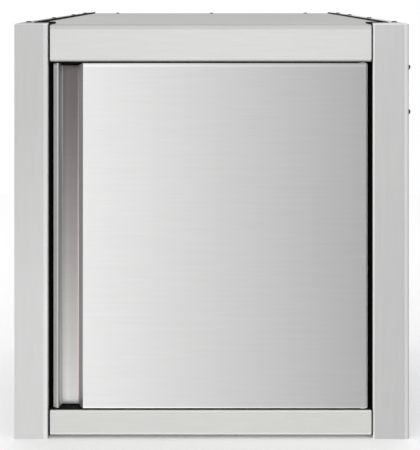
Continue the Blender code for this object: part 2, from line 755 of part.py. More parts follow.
def hinge_stile_stiffener():
    """A bar across the inside of the hinge stile, which the side screws hold."""
    front = BODY_SHEET + STILE_STIFFENER_FRONT_GAP
    top = FRONT_HEIGHT - STILE_STIFFENER_DROP
    bar = block(
        "hinge_stile_stiffener",
        at(HINGE_STILE_EDGE + BODY_SHEET + SIDE_BEND, front, top - STILE_STIFFENER_HEIGHT),
        at(WIDTH / 2 - BODY_SHEET - SEAT, front + STILE_STIFFENER_DEPTH, top),
        BRIGHT_STEEL, STILE_STIFFENER_FRONT_GAP,
    )
    holes = bmesh.new()
    for place in side_screw_places():
        inwards = Vector((SIDE_SCREW_LENGTH + SIDE_SCREW_CLEARANCE, 0, 0))
        add_rod(holes, place - inwards, place + Vector((OVERRUN, 0, 0)),
                SIDE_SCREW_RADIUS + SIDE_SCREW_CLEARANCE / 2, RIVET_STEPS)
    cut(bar, "stiffener_threads", holes)


def hinge_side_screws():
    """Pan-head screws through the side wall into the stile's stiffener."""
    profile = [
        *domed(SCREW_DOME_SHARES, SIDE_SCREW_HEAD_RADIUS, SIDE_SCREW_HEAD_HEIGHT),
        (SIDE_SCREW_RADIUS, 0),
        (SIDE_SCREW_RADIUS, -SIDE_SCREW_LENGTH),
        (0, -SIDE_SCREW_LENGTH),
    ]
    for number, place in enumerate(side_screw_places(), start=1):
        turned(f"hinge_side_screw_{number}", profile, RIVET_STEPS, place + Vector((SEAT, 0, 0)),
               (0, math.pi / 2, 0), BRIGHT_STEEL)


def rivet_profile(grip):
    """A blind rivet with a low domed head over a grip of sheet and its set tail below."""
    return [
        *domed(RIVET_DOME_SHARES, RIVET_HEAD_RADIUS, RIVET_HEAD_HEIGHT),
        (RIVET_RADIUS, 0),
        (RIVET_RADIUS, -grip),
        (RIVET_TAIL_RADIUS, -grip - SEAT),
        (RIVET_RADIUS, -grip - RIVET_TAIL),
        (0, -grip - RIVET_TAIL),
    ]


def rivets(name, places, grip):
    for number, place in enumerate(places, start=1):
        turned(f"{name}_{number}", rivet_profile(grip), RIVET_STEPS, place + off_slope(SEAT),
               (SLOPE, 0, 0), BRIGHT_STEEL)


def top_rivets():
    flange_grip = 2 * BODY_SHEET + 3 * SEAT
    rear_grip = BODY_SHEET + BACK_SHEET + 3 * SEAT
    rivets("left_flange_rivet", flange_rivet_places(-1), flange_grip)
    rivets("right_flange_rivet", flange_rivet_places(1), flange_grip)
    rivets("rear_edge_rivet", rear_rivet_places(), rear_grip)


def catch_middle():
    return CATCH_MIDDLE_SHARE * WIDTH


def catch_top():
    return RAIL_BOTTOM - STOP_END_GAP


def magnet_low():
    return catch_top() - CATCH_HEIGHT + MAGNET_DROP


def magnet_front():
    return DOOR_THICKNESS + SEAT + STRIKE_THICKNESS + CATCH_AIR_GAP


def catch_screw_places():
    front = STOP_DEPTH + STOP_SHEET + SEAT
    height = catch_top() - CATCH_SCREW_DROP
    offsets = (-CATCH_SCREW_SPACING / 2, CATCH_SCREW_SPACING / 2)
    return [at(catch_middle() + offset, front + CATCH_DEPTH, height) for offset in offsets]


def catch_housing():
    """The plastic body of the magnetic catch, on the rear of the top stop."""
    front = STOP_DEPTH + STOP_SHEET + SEAT
    half = CATCH_LENGTH / 2
    housing = block(
        "catch_housing",
        at(catch_middle() - half, front, catch_top() - CATCH_HEIGHT),
        at(catch_middle() + half, front + CATCH_DEPTH, catch_top()), BLACK_PLASTIC,
    )
    pocket = bmesh.new()
    add_box(pocket,
            at(catch_middle() - MAGNET_LENGTH / 2 - SEAT, front - OVERRUN, magnet_low() - SEAT),
            at(catch_middle() + MAGNET_LENGTH / 2 + SEAT, magnet_front() + MAGNET_DEPTH + SEAT,
               magnet_low() + MAGNET_HEIGHT + SEAT))
    reach = Vector((0, CATCH_DEPTH + OVERRUN, 0))
    for place in catch_screw_places():
        add_rod(pocket, place - reach, place + reach, CATCH_SCREW_RADIUS + SEAT, RIVET_STEPS)
    cut(housing, "catch_pocket", pocket)


def catch_magnet():
    half = MAGNET_LENGTH / 2
    block("catch_magnet", at(catch_middle() - half, magnet_front(), magnet_low()),
          at(catch_middle() + half, magnet_front() + MAGNET_DEPTH, magnet_low() + MAGNET_HEIGHT),
          MAGNET_FERRITE)


def catch_screws():
    """The two small screws that hold the catch on its stop."""
    length = CATCH_DEPTH - STOP_SHEET
    profile = [
        *domed(SCREW_DOME_SHARES, CATCH_SCREW_HEAD_RADIUS, CATCH_SCREW_HEAD_HEIGHT),
        (CATCH_SCREW_RADIUS, 0),
        (CATCH_SCREW_RADIUS, -length),
        (0, -length),
    ]
    for number, place in enumerate(catch_screw_places(), start=1):
        turned(f"catch_screw_{number}", profile, RIVET_STEPS, place + Vector((0, SEAT, 0)),
               (-math.pi / 2, 0, 0), BRIGHT_STEEL)


def door_skin():
    """The outer skin: hinge edge, face, slanted channel wall, channel floor, lip and free edge
    from one sheet. The face's ends are folded back and meet the hinge edge and the channel."""
    plan = [
        (DOOR_RIGHT, DOOR_RETURN),
        (DOOR_RIGHT, 0),
        (FACE_LEFT, 0),
        (CHANNEL_FLOOR_RIGHT, CHANNEL_DEPTH),
        (CREST, CHANNEL_DEPTH),
        (CREST, LIP_SETBACK),
        (DOOR_LEFT, LIP_SETBACK + LIP_FALL),
        (DOOR_LEFT, DOOR_RETURN),
    ]
    bends = [DOOR_EDGE_BEND, CHANNEL_BEND, CHANNEL_BEND, CHANNEL_BEND, CREST_BEND,
             LIP_EDGE_BEND]
    near, far = upright(plan, DOOR_BOTTOM, DOOR_TOP)
    ends = [
        ([*near[:4], at(CHANNEL_FLOOR_RIGHT, DOOR_RETURN, DOOR_BOTTOM)], [DOOR_END_BEND] * 2),
        ([*far[:4], at(CHANNEL_FLOOR_RIGHT, DOOR_RETURN, DOOR_TOP)], [DOOR_END_BEND] * 2),
    ]
    skin = folded_sheet("door_skin", near, far, bends, DOOR_SHEET, Vector((1, 0, 0)),
                        DOOR_STEEL, closures=ends)
    holes = bmesh.new()
    for height in (DOOR_BOTTOM, DOOR_TOP):
        add_rod(holes, at(PIVOT_X, PIVOT_DEPTH, height - OVERRUN),
                at(PIVOT_X, PIVOT_DEPTH, height + OVERRUN), PIN_RADIUS + PIN_HOLE_CLEARANCE,
                ROUND_STEPS)
    cut(skin, "door_pin_holes", holes)
    return skin


def door_liner():
    """The shallow pan that closes the rear of the door inside the skin's returns."""
    inset = DOOR_SHEET + SEAT
    left = DOOR_LEFT + inset
    right = DOOR_RIGHT - inset
    low = DOOR_BOTTOM + inset
    high = DOOR_TOP - inset
    front = DOOR_THICKNESS - LINER_FLANGE
    bm = bmesh.new()
    add_box(bm, at(left, front, low), at(right, DOOR_THICKNESS, high))
    mouth = [face for face in bm.faces if face.normal.y < -0.5]
    bmesh.ops.delete(bm, geom=mouth, context="FACES")
    liner = add_part("door_liner", bm, DOOR_STEEL)
    bevel = liner.modifiers.new("bends", "BEVEL")
    bevel.width = DOOR_END_BEND - inset
    bevel.segments = BEND_STEPS
    sheet = liner.modifiers.new("sheet", "SOLIDIFY")
    sheet.thickness = LINER_SHEET
    sheet.offset = -1.0
    sheet.use_even_offset = True
    return liner


def door_infill():
    """The sound-deadening board between skin and liner."""
    inset = DOOR_SHEET + SEAT
    end = DOOR_SHEET + LINER_SHEET + 2 * SEAT + INFILL_END_GAP
    return block(
        "door_infill",
        at(FACE_LEFT + INFILL_SIDE_GAP, inset, DOOR_BOTTOM + end),
        at(PIVOT_X - PIVOT_BLOCK_WIDTH / 2 - INFILL_PIVOT_GAP,
           DOOR_THICKNESS - LINER_SHEET - SEAT, DOOR_TOP - end),
        INFILL_BOARD,
    )


def pivot_block(name, bottom):
    """A bored block in the corner of the door that takes a pivot pin."""
    half = PIVOT_BLOCK_WIDTH / 2
    piece = block(name, at(PIVOT_X - half, DOOR_SHEET + PIVOT_BLOCK_FRONT_GAP, bottom),
                  at(PIVOT_X + half, PIVOT_BLOCK_REAR_DEPTH, bottom + PIVOT_BLOCK_HEIGHT),
                  BRIGHT_STEEL)
    bore = bmesh.new()
    add_rod(bore, at(PIVOT_X, PIVOT_DEPTH, bottom - OVERRUN),
            at(PIVOT_X, PIVOT_DEPTH, bottom + PIVOT_BLOCK_HEIGHT + OVERRUN),
            PIN_RADIUS + SEAT, ROUND_STEPS)
    cut(piece, f"{name}_bore", bore)
    return piece


def pivot_pin(name, low, high):
    """A plain pin with chamfered ends, fast in its block and free in its bush."""
    half = (high - low) / 2
    profile = [
        (0, half),
        (PIN_RADIUS - PIN_CHAMFER, half),
        (PIN_RADIUS, half - PIN_CHAMFER),
        (PIN_RADIUS, PIN_CHAMFER - half),
        (PIN_RADIUS - PIN_CHAMFER, -half),
        (0, -half),
    ]
    return turned(name, profile, ROUND_STEPS, at(PIVOT_X, PIVOT_DEPTH, (low + high) / 2),
                  (0, 0, 0), PIN_STEEL)


def door_pivots():
    reach = BODY_SHEET + HINGE_PLATE_THICKNESS + BUSH_STAND_OUT
    inset = DOOR_SHEET + SEAT
    return [
        pivot_block("lower_pivot_block", DOOR_BOTTOM + inset),
        pivot_block("upper_pivot_block", DOOR_TOP - inset - PIVOT_BLOCK_HEIGHT),
        pivot_pin("lower_pivot_pin", FLOOR_TOP - reach, DOOR_BOTTOM + PIN_IN_DOOR),
        pivot_pin("upper_pivot_pin", DOOR_TOP - PIN_IN_DOOR, RAIL_BOTTOM + reach),
    ]


def catch_strike():
    """The steel plate on the liner that the magnet holds."""
    middle = magnet_low() + MAGNET_HEIGHT / 2
    half = STRIKE_LENGTH / 2
    front = DOOR_THICKNESS + SEAT
    return block("catch_strike", at(catch_middle() - half, front, middle - STRIKE_HEIGHT / 2),
                 at(catch_middle() + half, front + STRIKE_THICKNESS, middle + STRIKE_HEIGHT / 2),
                 BRIGHT_STEEL)


def door():
    """The door's pieces, hung on an empty that stands on the pivot axis."""
    axis = bpy.data.objects.new("door_axis", None)
    axis.location = at(PIVOT_X, PIVOT_DEPTH, (DOOR_BOTTOM + DOOR_TOP) / 2)
    PARTS.objects.link(axis)
    bpy.context.view_layer.update()
    pieces = [door_skin(), door_liner(), door_infill(), *door_pivots(), catch_strike()]
    for piece in pieces:
        piece.parent = axis
        piece.location -= axis.location


def body():
    left_side_panel()
    right_side_panel()
    top_panel()
    bottom_panel()
    back_panel()
    wall_fixing_rail()
    shelf()
    shelf_bracket("left_shelf_bracket", -1)
    shelf_bracket("right_shelf_bracket", 1)
    shelf_stiffener()
    latch_stop_strip()
    hinge_stop_strip()
    top_stop_strip()
    bottom_stop_strip()
    door_seals()
    hinge_plates()
    pivot_bushes()
    hinge_stile_stiffener()
    hinge_side_screws()
    top_rivets()
    catch_housing()
    catch_magnet()
    catch_screws()


body()
door()
bpy.context.view_layer.update()
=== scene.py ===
"""Dresses a packed steel wall cabinet: folded sheets, fasteners, seals, finishes and studio."""

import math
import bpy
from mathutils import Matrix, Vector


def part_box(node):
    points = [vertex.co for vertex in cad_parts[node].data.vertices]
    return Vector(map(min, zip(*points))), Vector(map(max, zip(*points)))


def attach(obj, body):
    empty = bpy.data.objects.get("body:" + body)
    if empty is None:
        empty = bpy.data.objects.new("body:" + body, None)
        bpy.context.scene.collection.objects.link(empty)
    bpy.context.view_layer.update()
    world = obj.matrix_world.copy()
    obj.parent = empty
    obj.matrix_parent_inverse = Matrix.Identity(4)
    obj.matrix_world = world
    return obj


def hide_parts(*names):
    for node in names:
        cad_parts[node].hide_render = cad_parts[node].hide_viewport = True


bl_info = {
    "name": "Steel Wall Cabinet",
    "version": (1, 0, 0),
    "blender": (4, 5, 0),
    "location": "3D View > Sidebar > Cabinet",
    "description": "Folded sheets, fasteners, seals and brushed finishes for a steel wall cabinet",
    "category": "Object",
}

from typing import NamedTuple

import bmesh
import bpy
import numpy as np
from bpy.props import FloatProperty, FloatVectorProperty, PointerProperty
from mathutils import Vector

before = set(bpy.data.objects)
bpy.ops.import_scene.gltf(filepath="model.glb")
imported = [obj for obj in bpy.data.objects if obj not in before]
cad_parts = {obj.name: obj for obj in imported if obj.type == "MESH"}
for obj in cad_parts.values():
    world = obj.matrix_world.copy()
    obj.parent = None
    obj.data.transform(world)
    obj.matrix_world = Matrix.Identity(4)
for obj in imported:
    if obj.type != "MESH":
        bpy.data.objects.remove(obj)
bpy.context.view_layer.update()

# Boxes of the frame that the dressed pieces take their sizes from
LEFT_LOW, LEFT_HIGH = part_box("left_side_panel")
RIGHT_LOW, RIGHT_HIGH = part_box("right_side_panel")
PLATE_LOW, PLATE_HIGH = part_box("top_panel")
FLOOR_LOW, FLOOR_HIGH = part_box("bottom_panel")
SKIN_LOW, SKIN_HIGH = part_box("door_skin")
FRONT = LEFT_LOW.y
DEPTH = LEFT_HIGH.y - LEFT_LOW.y

# Heights of the door opening: the bottom rail's upper edge and the fascia's lower edge
FLOOR_LIP = FLOOR_HIGH.z
FASCIA_FOOT = PLATE_LOW.z

# The sloping top: its rise over the depth, and the height of the front edge that it starts from
TOP_RISE = 0.160
FRONT_HEIGHT = 0.62999
SLOPE = math.atan2(TOP_RISE, DEPTH)

# Clearance between neighbouring sheets, width of a deburred edge, and how near counts as equal
CLEARANCE = 0.0003
DEBURRED = 0.0003
NEARLY = 0.0003

SHARP_ANGLE = math.radians(40)
BEND_SEGMENTS = 6
BULB_POINTS = 17


# Settings

def length(name, description, default):
    """A size in metres that a user may change."""
    return FloatProperty(name=name, description=description, default=default, unit="LENGTH")


def tint(name, description, default):
    """A colour that a user may change."""
    return FloatVectorProperty(name=name, description=description, default=default,
                               subtype="COLOR", min=0, max=1)


def brightness(name, description, default):
    """A level of the studio's light that a user may change."""
    return FloatProperty(name=name, description=description, default=default, min=0)


class CabinetSizes(bpy.types.PropertyGroup):
    sheet: length("Body sheet", "Thickness of the body's sheet", 0.0012)
    side_bend: length("Side bend", "Outer radius of the side panels' bends", 0.0025)
    side_flange: length(
        "Side flange", "Width of the side panels' flanges on top and at the wall", 0.022)
    stile_return: length("Stile return", "How far the stiles are folded back beside the door", 0.025)
    rail_bend: length("Rail bend", "Outer radius of the rails' bends", 0.0035)
    latch_joint: length("Latch joint", "Width of the joints at the rails' latch ends", 0.0032)
    hinge_joint: length("Hinge joint", "Width of the joints at the rails' hinge ends", 0.0025)
    rail_clearance: length(
        "Rail clearance", "How far the bottom rail ends above the stiles' feet", 0.0012)
    bottom_return: length("Bottom return", "Depth of the bottom rail's lower fold", 0.015)
    rear_fold: length("Rear fold", "Height of the floor's fold at the wall", 0.022)
    lining: length("Lining", "Thickness of the black lining round the door opening", 0.0008)
    lining_gap: length("Lining gap", "Clearance between the lining and the folds", 0.0001)
    lining_setback: length("Lining setback", "How far the lining starts behind the face", 0.00225)
    lining_overrun: length(
        "Lining overrun", "How far the lining runs past the stiles' returns", 0.00075)
    lining_leg: length("Lining leg", "How far the lining's rear leg stands into the opening", 0.0045)
    door_sheet: length("Door sheet", "Thickness of the door's skin", 0.0010)
    door_edge_bend: length("Door edge bend", "Outer radius of the door's hinge edge", 0.0045)
    door_end_bend: length("Door end bend", "Outer radius of the door's upper and lower edges", 0.0030)
    lip_width: length("Lip width", "Width of the rounded lip on the latch edge", 0.0110)
    lip_setback: length("Lip setback", "How far the lip's crest lies behind the face", 0.0020)
    lip_fall: length("Lip fall", "How far the lip falls back towards its free edge", 0.0042)
    channel_width: length("Channel width", "Width of the finger channel at the face", 0.0369)
    channel_depth: length("Channel depth", "Depth of the finger channel", 0.0160)
    channel_slant: length("Channel slant", "How far the channel's inner wall leans", 0.0110)
    channel_bend: length("Channel bend", "Outer radius of the channel's folds", 0.0015)
    crest_bend: length("Crest bend", "How far the lip's crest is rounded on each side", 0.0036)
    lip_bend: length("Lip bend", "How far the lip's free edge is rounded on each side", 0.0017)
    rivet_radius: length("Rivet radius", "Radius of the blind rivets' heads", 0.0042)
    rivet_height: length("Rivet height", "Height of the blind rivets' heads", 0.0018)
    side_screw_radius: length("Side screw radius", "Radius of the side screws' heads", 0.0040)
    catch_screw_radius: length("Catch screw radius", "Radius of the catch screws' heads", 0.0026)
    catch_screw_height: length("Catch screw height", "Height of the catch screws' heads", 0.0018)


class CabinetColours(bpy.types.PropertyGroup):
    body_steel: tint("Body steel", "Colour of the brushed body sheet", (0.645, 0.645, 0.642))
    rail_steel: tint("Rail steel", "Colour of the bottom panel and its rail", (0.642, 0.643, 0.622))
    top_steel: tint("Top steel", "Colour of the top panel and its fascia", (0.648, 0.648, 0.640))
    door_steel: tint("Door steel", "Colour of the brushed door skin", (0.700, 0.700, 0.698))
    channel_steel: tint(
        "Channel steel", "Colour of the channel's floor at its head", (0.765, 0.690, 0.676))
    channel_foot_steel: tint(
        "Channel foot steel", "Colour of the channel's floor at its foot", (0.692, 0.690, 0.672))
    # The crest is darker than the door as painted shade that tones down its reflection
    crest_steel: tint(
        "Crest steel", "Colour of the lip's crest, which hands dull", (0.540, 0.540, 0.536))
    fastener_steel: tint("Fastener steel", "Colour of rivets and screws", (0.090, 0.090, 0.092))
    rubber: tint("Rubber", "Colour of the seals", (0.010, 0.010, 0.010))


class StudioSettings(bpy.types.PropertyGroup):
    left_level: brightness("Left level", "Brightness of the front backdrop's left end", 1.45)
    right_level: brightness("Right level", "Brightness of the front backdrop's right end", 0.42)
    rear_level: brightness("Rear level", "Brightness of the rear backdrop that the top shows", 0.36)
    fill_level: brightness("Fill level", "Brightness of the white world all round", 1.0)
    key_power: FloatProperty(
        name="Key power", description="Power of the soft key light",
        default=6.0, min=0, subtype="POWER")
    eye_distance: length("Eye distance", "How far the camera stands before the door", 0.688)
    eye_height: length("Eye height", "Height of the camera above the cabinet's foot", 0.4006)


# Shapes

def top_height(y, drop=0.0):
    """Height of the sloping top: front height plus rise times depth share, less a square drop."""
    return FRONT_HEIGHT + (y - FRONT) * TOP_RISE / DEPTH - drop / math.cos(SLOPE)


def shown_mesh(obj):
    """The mesh that an object's modifiers make, as a new mesh."""
    bpy.context.view_layer.update()
    return bpy.data.meshes.new_from_object(
        obj.evaluated_get(bpy.context.evaluated_depsgraph_get()))


def face_values(mesh, key):
    """Three numbers for each face, such as its normal or its centre."""
    values = np.empty(len(mesh.polygons) * 3)
    mesh.polygons.foreach_get(key, values)
    return values.reshape(-1, 3)


def smooth_shaded(obj):
    """Smooth shading with sharp cut edges, normals weighted towards the larger faces. The bend
    attribute is zero on flat sheet and one on a face turned halfway round a right angle. The
    finishes paint highlights and shade on the bends from it."""
    straight = np.abs(face_values(obj.data, "normal")).max(axis=1)
    turned = np.clip((1 - straight) / (1 - math.sqrt(0.5)), 0, 1)
    bend = obj.data.attributes.new("bend", "FLOAT", "FACE")
    bend.data.foreach_set("value", turned.astype(np.float32))
    obj.data.shade_smooth()
    obj.data.set_sharp_from_angle(angle=SHARP_ANGLE)
    weighted = obj.modifiers.new("weighted normals", "WEIGHTED_NORMAL")
    weighted.keep_sharp = True


def turn_faces(mesh, outside=None):
    """Turns all faces to one side: outwards, or where the first face looks along outside."""
    bm = bmesh.new()
    bm.from_mesh(mesh)
    bmesh.ops.recalc_face_normals(bm, faces=bm.faces)
    bm.faces.ensure_lookup_table()
    if outside is not None and bm.faces[0].normal.dot(outside) < 0:
        bmesh.ops.reverse_faces(bm, faces=bm.faces)
    bm.to_mesh(mesh)
    bm.free()


def add_piece(name, points, faces, finish, body, replaced=()):
    """A piece from an array of points, an array or list of faces and the name of its finish."""
    mesh = bpy.data.meshes.new(name)
    corners = [list(map(int, face)) for face in faces]
    mesh.from_pydata(np.asarray(points, float).tolist(), [], corners)
    mesh.validate()
    turn_faces(mesh)
    mesh.materials.append(finish_material(finish))
    obj = bpy.data.objects.new(name, mesh)
    bpy.context.scene.collection.objects.link(obj)
    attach(obj, body)
    if replaced:
        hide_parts(*replaced)
    return obj


def strip_faces(count, start=0):
    """Quads between two rows of count points that follow each other in the point list."""
    near = np.arange(start, start + count - 1)
    return np.stack([near, near + 1, near + count + 1, near + count], axis=1)


def folded_sheet(obj, folds, thickness, outside):
    """Turns a cage of flat faces into folded sheet.

    folds lists (first point, second point, bend radius) of the edges to round. The first face
    looks along outside, and the thickness goes the other way.
    """
    mesh = obj.data
    turn_faces(mesh, outside)
    pairs = np.empty(len(mesh.edges) * 2, int)
    mesh.edges.foreach_get("vertices", pairs)
    pairs = np.sort(pairs.reshape(-1, 2), axis=1)
    largest = max(radius for _, _, radius in folds)
    weights = np.zeros(len(pairs), np.float32)
    for first, second, radius in folds:
        weights[(pairs == sorted((first, second))).all(axis=1)] = radius / largest
    attribute = mesh.attributes.new("bevel_weight_edge", "FLOAT", "EDGE")
    attribute.data.foreach_set("value", weights)
    bevel = obj.modifiers.new("bends", "BEVEL")
    bevel.limit_method = "WEIGHT"
    bevel.width = largest
    bevel.segments = BEND_SEGMENTS
    bevel.use_clamp_overlap = False
    sheet = obj.modifiers.new("sheet", "SOLIDIFY")
    sheet.thickness = thickness
    sheet.offset = -1.0
    sheet.use_even_offset = True
    shaped = shown_mesh(obj)
    obj.modifiers.clear()
    obj.data = shaped
    smooth_shaded(obj)


def loop_faces(rows, around, closed):
    """Quads over rows of closed loops of around points; a closed set joins its last row to its
    first, and an open one gets an end face at both ends."""
    row = np.arange(rows if closed else rows - 1)[:, None]
    step = np.arange(around)
    here, beside = row * around + step, row * around + (step + 1) % around
    there = (row + 1) % rows * around
    quads = np.stack([here, beside, there + (step + 1) % around, there + step], axis=2)
    faces = quads.reshape(-1, 4).tolist()
    if not closed:
        faces += [step[::-1].tolist(), (step + (rows - 1) * around).tolist()]
    return faces


def section_across(section, left, right):
    """Points of a section of (y, z) pairs, carried straight from left to right."""
    return np.vstack([np.column_stack([np.full(len(section), x), section])
                      for x in (left, right)])


def section_upright(plan, bottom, top):
    """Points of a plan of (x, y) pairs, carried straight up. top may be a function of y."""
    ceiling = top(plan[:, 1]) if callable(top) else top
    return np.vstack([np.column_stack([plan, np.broadcast_to(height, len(plan))])
                      for height in (bottom, ceiling)])


# Finishes

# A tilt that keeps a tangent from vanishing on a face that looks straight up
TILT = 0.01

# How far marks, streaks and clouds carry a brushed sheet's tone, and its roughness, either way
MARK_TONE, STREAK_TONE, CLOUD_TONE = 0.025, 0.022, 0.015
MARK_HAZE, CLOUD_HAZE = 0.03, 0.015

# Inputs of a Map Range node
RANGE_INPUTS = ("From Min", "From Max", "To Min", "To Max")


class Nodes:
    """A material's node tree, with short ways to add and join nodes."""

    def __init__(self, name):
        self.material = bpy.data.materials.new(name)
        self.material.use_nodes = True
        self.tree = self.material.node_tree
        self.shader = self.tree.nodes["Principled BSDF"]
        self.place = self.add("ShaderNodeTexCoord").outputs["Object"]

    def add(self, kind, **settings):
        node = self.tree.nodes.new(kind)
        for key, value in settings.items():
            setattr(node, key, value)
        return node

    def join(self, source, target):
        self.tree.links.new(source, target)

    def set(self, **values):
        for key, value in values.items():
            self.shader.inputs[key.replace("_", " ")].default_value = value

    def noise(self, scale, detail=4.0, roughness=0.55):
        """Noise over Object coordinates, with its own scale along each axis, per metre."""
        mapping = self.add("ShaderNodeMapping")
        mapping.inputs["Scale"].default_value = scale
        self.join(self.place, mapping.inputs["Vector"])
        noise = self.add("ShaderNodeTexNoise")
        noise.inputs["Scale"].default_value = 1.0
        noise.inputs["Detail"].default_value = detail
        noise.inputs["Roughness"].default_value = roughness
        self.join(mapping.outputs["Vector"], noise.inputs["Vector"])
        return noise.outputs["Fac"]

    def ranged(self, source, low, high, into=None, source_low=0.3, source_high=0.7):
        """A value between low and high, read from a noise's usual middle range."""
        ranged = self.add("ShaderNodeMapRange")
        for key, value in zip(RANGE_INPUTS, (source_low, source_high, low, high)):
            ranged.inputs[key].default_value = value
        self.join(source, ranged.inputs["Value"])
        if into is not None:
            self.join(ranged.outputs["Result"], into)
        return ranged.outputs["Result"]

    def spread(self, source, middle, reach):
        """A value that a noise carries evenly to both sides of a middle."""
        return self.ranged(source, middle - reach, middle + reach)

    def rough(self, source, low, high):
        """The shader's roughness, read from a noise."""
        self.ranged(source, low, high, self.shader.inputs["Roughness"])

    def math(self, operation, first, second):
        node = self.add("ShaderNodeMath", operation=operation)
        for socket, value in zip(node.inputs, (first, second)):
            if isinstance(value, (int, float)):
                socket.default_value = value
            else:
                self.join(value, socket)
        return node.outputs["Value"]

    def tinted(self, colour, amount, far_colour=None, share=None):
        """The base colour, scaled by an amount that varies round one. Where far_colour is
        given, the colour goes from colour to far_colour with share."""
        mix = self.add("ShaderNodeVectorMath", operation="SCALE")
        mix.inputs[0].default_value = colour[:3]
        if far_colour:
            blend = self.add("ShaderNodeVectorMath", operation="MULTIPLY_ADD")
            blend.inputs[1].default_value = Vector(far_colour) - Vector(colour)
            blend.inputs[2].default_value = colour
            self.join(share, blend.inputs[0])
            self.join(blend.outputs["Vector"], mix.inputs[0])
        self.join(amount, mix.inputs["Scale"])
        self.join(mix.outputs["Vector"], self.shader.inputs["Base Color"])

    def bump(self, height, distance):
        """Marks as deep as distance."""
        bump = self.add("ShaderNodeBump")
        bump.inputs["Distance"].default_value = distance
        self.join(height, bump.inputs["Height"])
        self.join(bump.outputs["Normal"], self.shader.inputs["Normal"])

    def upward(self, axis):
        """Straight up, tilted a little along an axis."""
        up = self.add("ShaderNodeCombineXYZ")
        up.inputs["Z"].default_value = 1.0
        up.inputs[axis].default_value = TILT
        return up.outputs["Vector"]

    def streak_level(self):
        """Highlights stretch level along a wall: the tangent is the normal crossed with up."""
        cross = self.add("ShaderNodeVectorMath", operation="CROSS_PRODUCT")
        self.join(self.add("ShaderNodeNewGeometry").outputs["Normal"], cross.inputs[0])
        self.join(self.upward("Y"), cross.inputs[1])
        self.join(cross.outputs["Vector"], self.shader.inputs["Tangent"])

    def streak_upright(self):
        """Highlights stretch up and down a wall: the tangent is straight up."""
        self.join(self.upward("X"), self.shader.inputs["Tangent"])


class Shade(NamedTuple):
    """Painted light and shade along an axis: the tone goes from one level at start to another at
    end. The share of the way is raised to the power curve."""
    axis: str
    start: float
    end: float
    start_level: float
    end_level: float
    curve: float = 1.0


def edge_shade(axis, edge, start, full, level):
    """A painted highlight or painted shade line beside a bend: the tone goes from one at start to
    level at full, both measured from the edge."""
    return Shade(axis, edge + start, edge + full, 1.0, level)


def brushed(name, colour, grain, roughness, anisotropy, streak="level", depth=0.000004,
            worn=0.15, satin_share=0.0, far_colour=None, shades=()):
    """Brushed stainless sheet. grain is the noise scale per metre along X, Y and Z: low along
    the brush marks and high across them. streak is the way that highlights stretch, level or
    upright. worn paints highlights on the bends, and painted shade where it is
    below zero. satin_share is the share of light that the grain scatters evenly. far_colour is
    the colour at the last shade's end. shades paint light and shade from place to place. The
    colour never passes white."""
    nodes = Nodes(name)
    nodes.set(Metallic=1.0 - satin_share, Anisotropic=anisotropy)
    marks = nodes.noise(grain, detail=6.0, roughness=0.65)
    clouds = nodes.noise((5.0, 5.0, 5.0), detail=3.0)
    broader, shorter, across = 0.2, 2.2, 100.0
    streaks = nodes.noise([scale * (broader if scale > across else shorter) for scale in grain],
                          roughness=0.7)
    fine = nodes.math("ADD", nodes.spread(marks, 0, MARK_TONE),
                      nodes.spread(streaks, 0, STREAK_TONE))
    amount = nodes.math("ADD", fine, nodes.spread(clouds, 1, CLOUD_TONE))
    # Painted highlights on the bends, and painted shade on them where the factor is below zero
    bend = nodes.add("ShaderNodeAttribute", attribute_name="bend").outputs["Fac"]
    amount = nodes.math("ADD", amount, nodes.math("MULTIPLY", bend, worn))
    share = None
    # Each shade paints light and shade along its axis
    for shade in shades:
        split = nodes.add("ShaderNodeSeparateXYZ")
        nodes.join(nodes.place, split.inputs["Vector"])
        share = nodes.ranged(split.outputs[shade.axis], 0.0, 1.0,
                             source_low=shade.start, source_high=shade.end)
        share = nodes.math("POWER", share, shade.curve)
        level = nodes.ranged(share, shade.start_level, shade.end_level,
                             source_low=0.0, source_high=1.0)
        amount = nodes.math("MULTIPLY", amount, level)
    amount = nodes.math("MINIMUM", amount, 1.0 / max(colour))
    nodes.tinted(colour, amount, far_colour, share)
    haze = nodes.math("ADD", nodes.spread(marks, roughness, MARK_HAZE),
                      nodes.spread(clouds, 0, CLOUD_HAZE))
    nodes.join(haze, nodes.shader.inputs["Roughness"])
    nodes.bump(marks, depth)
    if streak == "level":
        nodes.streak_level()
    else:
        nodes.streak_upright()
    return nodes.material


def plain_metal(name, colour, roughness, grain=(220.0, 220.0, 220.0)):
    """Turned or drawn metal with fine tool marks and duller patches of wear."""
    nodes = Nodes(name)
    nodes.set(Metallic=1.0)
    marks = nodes.noise(grain, detail=5.0)
    nodes.tinted(colour, nodes.ranged(marks, 0.92, 1.06))
    nodes.rough(marks, roughness - 0.06, roughness + 0.08)
    nodes.bump(nodes.noise((900.0, 900.0, 900.0)), distance=0.00001)
    return nodes.material


def rubber_finish(name, colour, sheen):
    """Extruded black rubber or cured sealant: matt and faintly grained, with a soft sheen."""
    nodes = Nodes(name)
    nodes.set(Sheen_Weight=sheen, Sheen_Roughness=0.5, Specular_IOR_Level=0.1 + sheen)
    grain = nodes.noise((500.0, 500.0, 120.0))
    nodes.tinted(colour, nodes.ranged(grain, 0.8, 1.3))
    nodes.rough(grain, 0.62, 0.82)
    nodes.bump(grain, distance=0.00003)
    return nodes.material


def moulded_plastic(name, colour, roughness, grain=700.0):
    """Moulded plastic with a fine spark-eroded grain."""
    nodes = Nodes(name)
    texture = nodes.noise((grain, grain, grain))
    nodes.tinted(colour, nodes.ranged(nodes.noise((40.0, 40.0, 40.0), detail=2.0), 0.94, 1.05))
    nodes.rough(texture, roughness - 0.05, roughness + 0.07)
    nodes.bump(texture, distance=0.00002)
    return nodes.material


def fibre_board(name, colour):
    """Raw fibre board: matt, with long pale and dark fibres."""
    nodes = Nodes(name)
    fibres = nodes.noise((60.0, 60.0, 900.0), detail=6.0)
    nodes.tinted(colour, nodes.ranged(fibres, 0.75, 1.2))
    nodes.rough(fibres, 0.82, 0.96)
    nodes.bump(fibres, distance=0.0002)
    return nodes.material


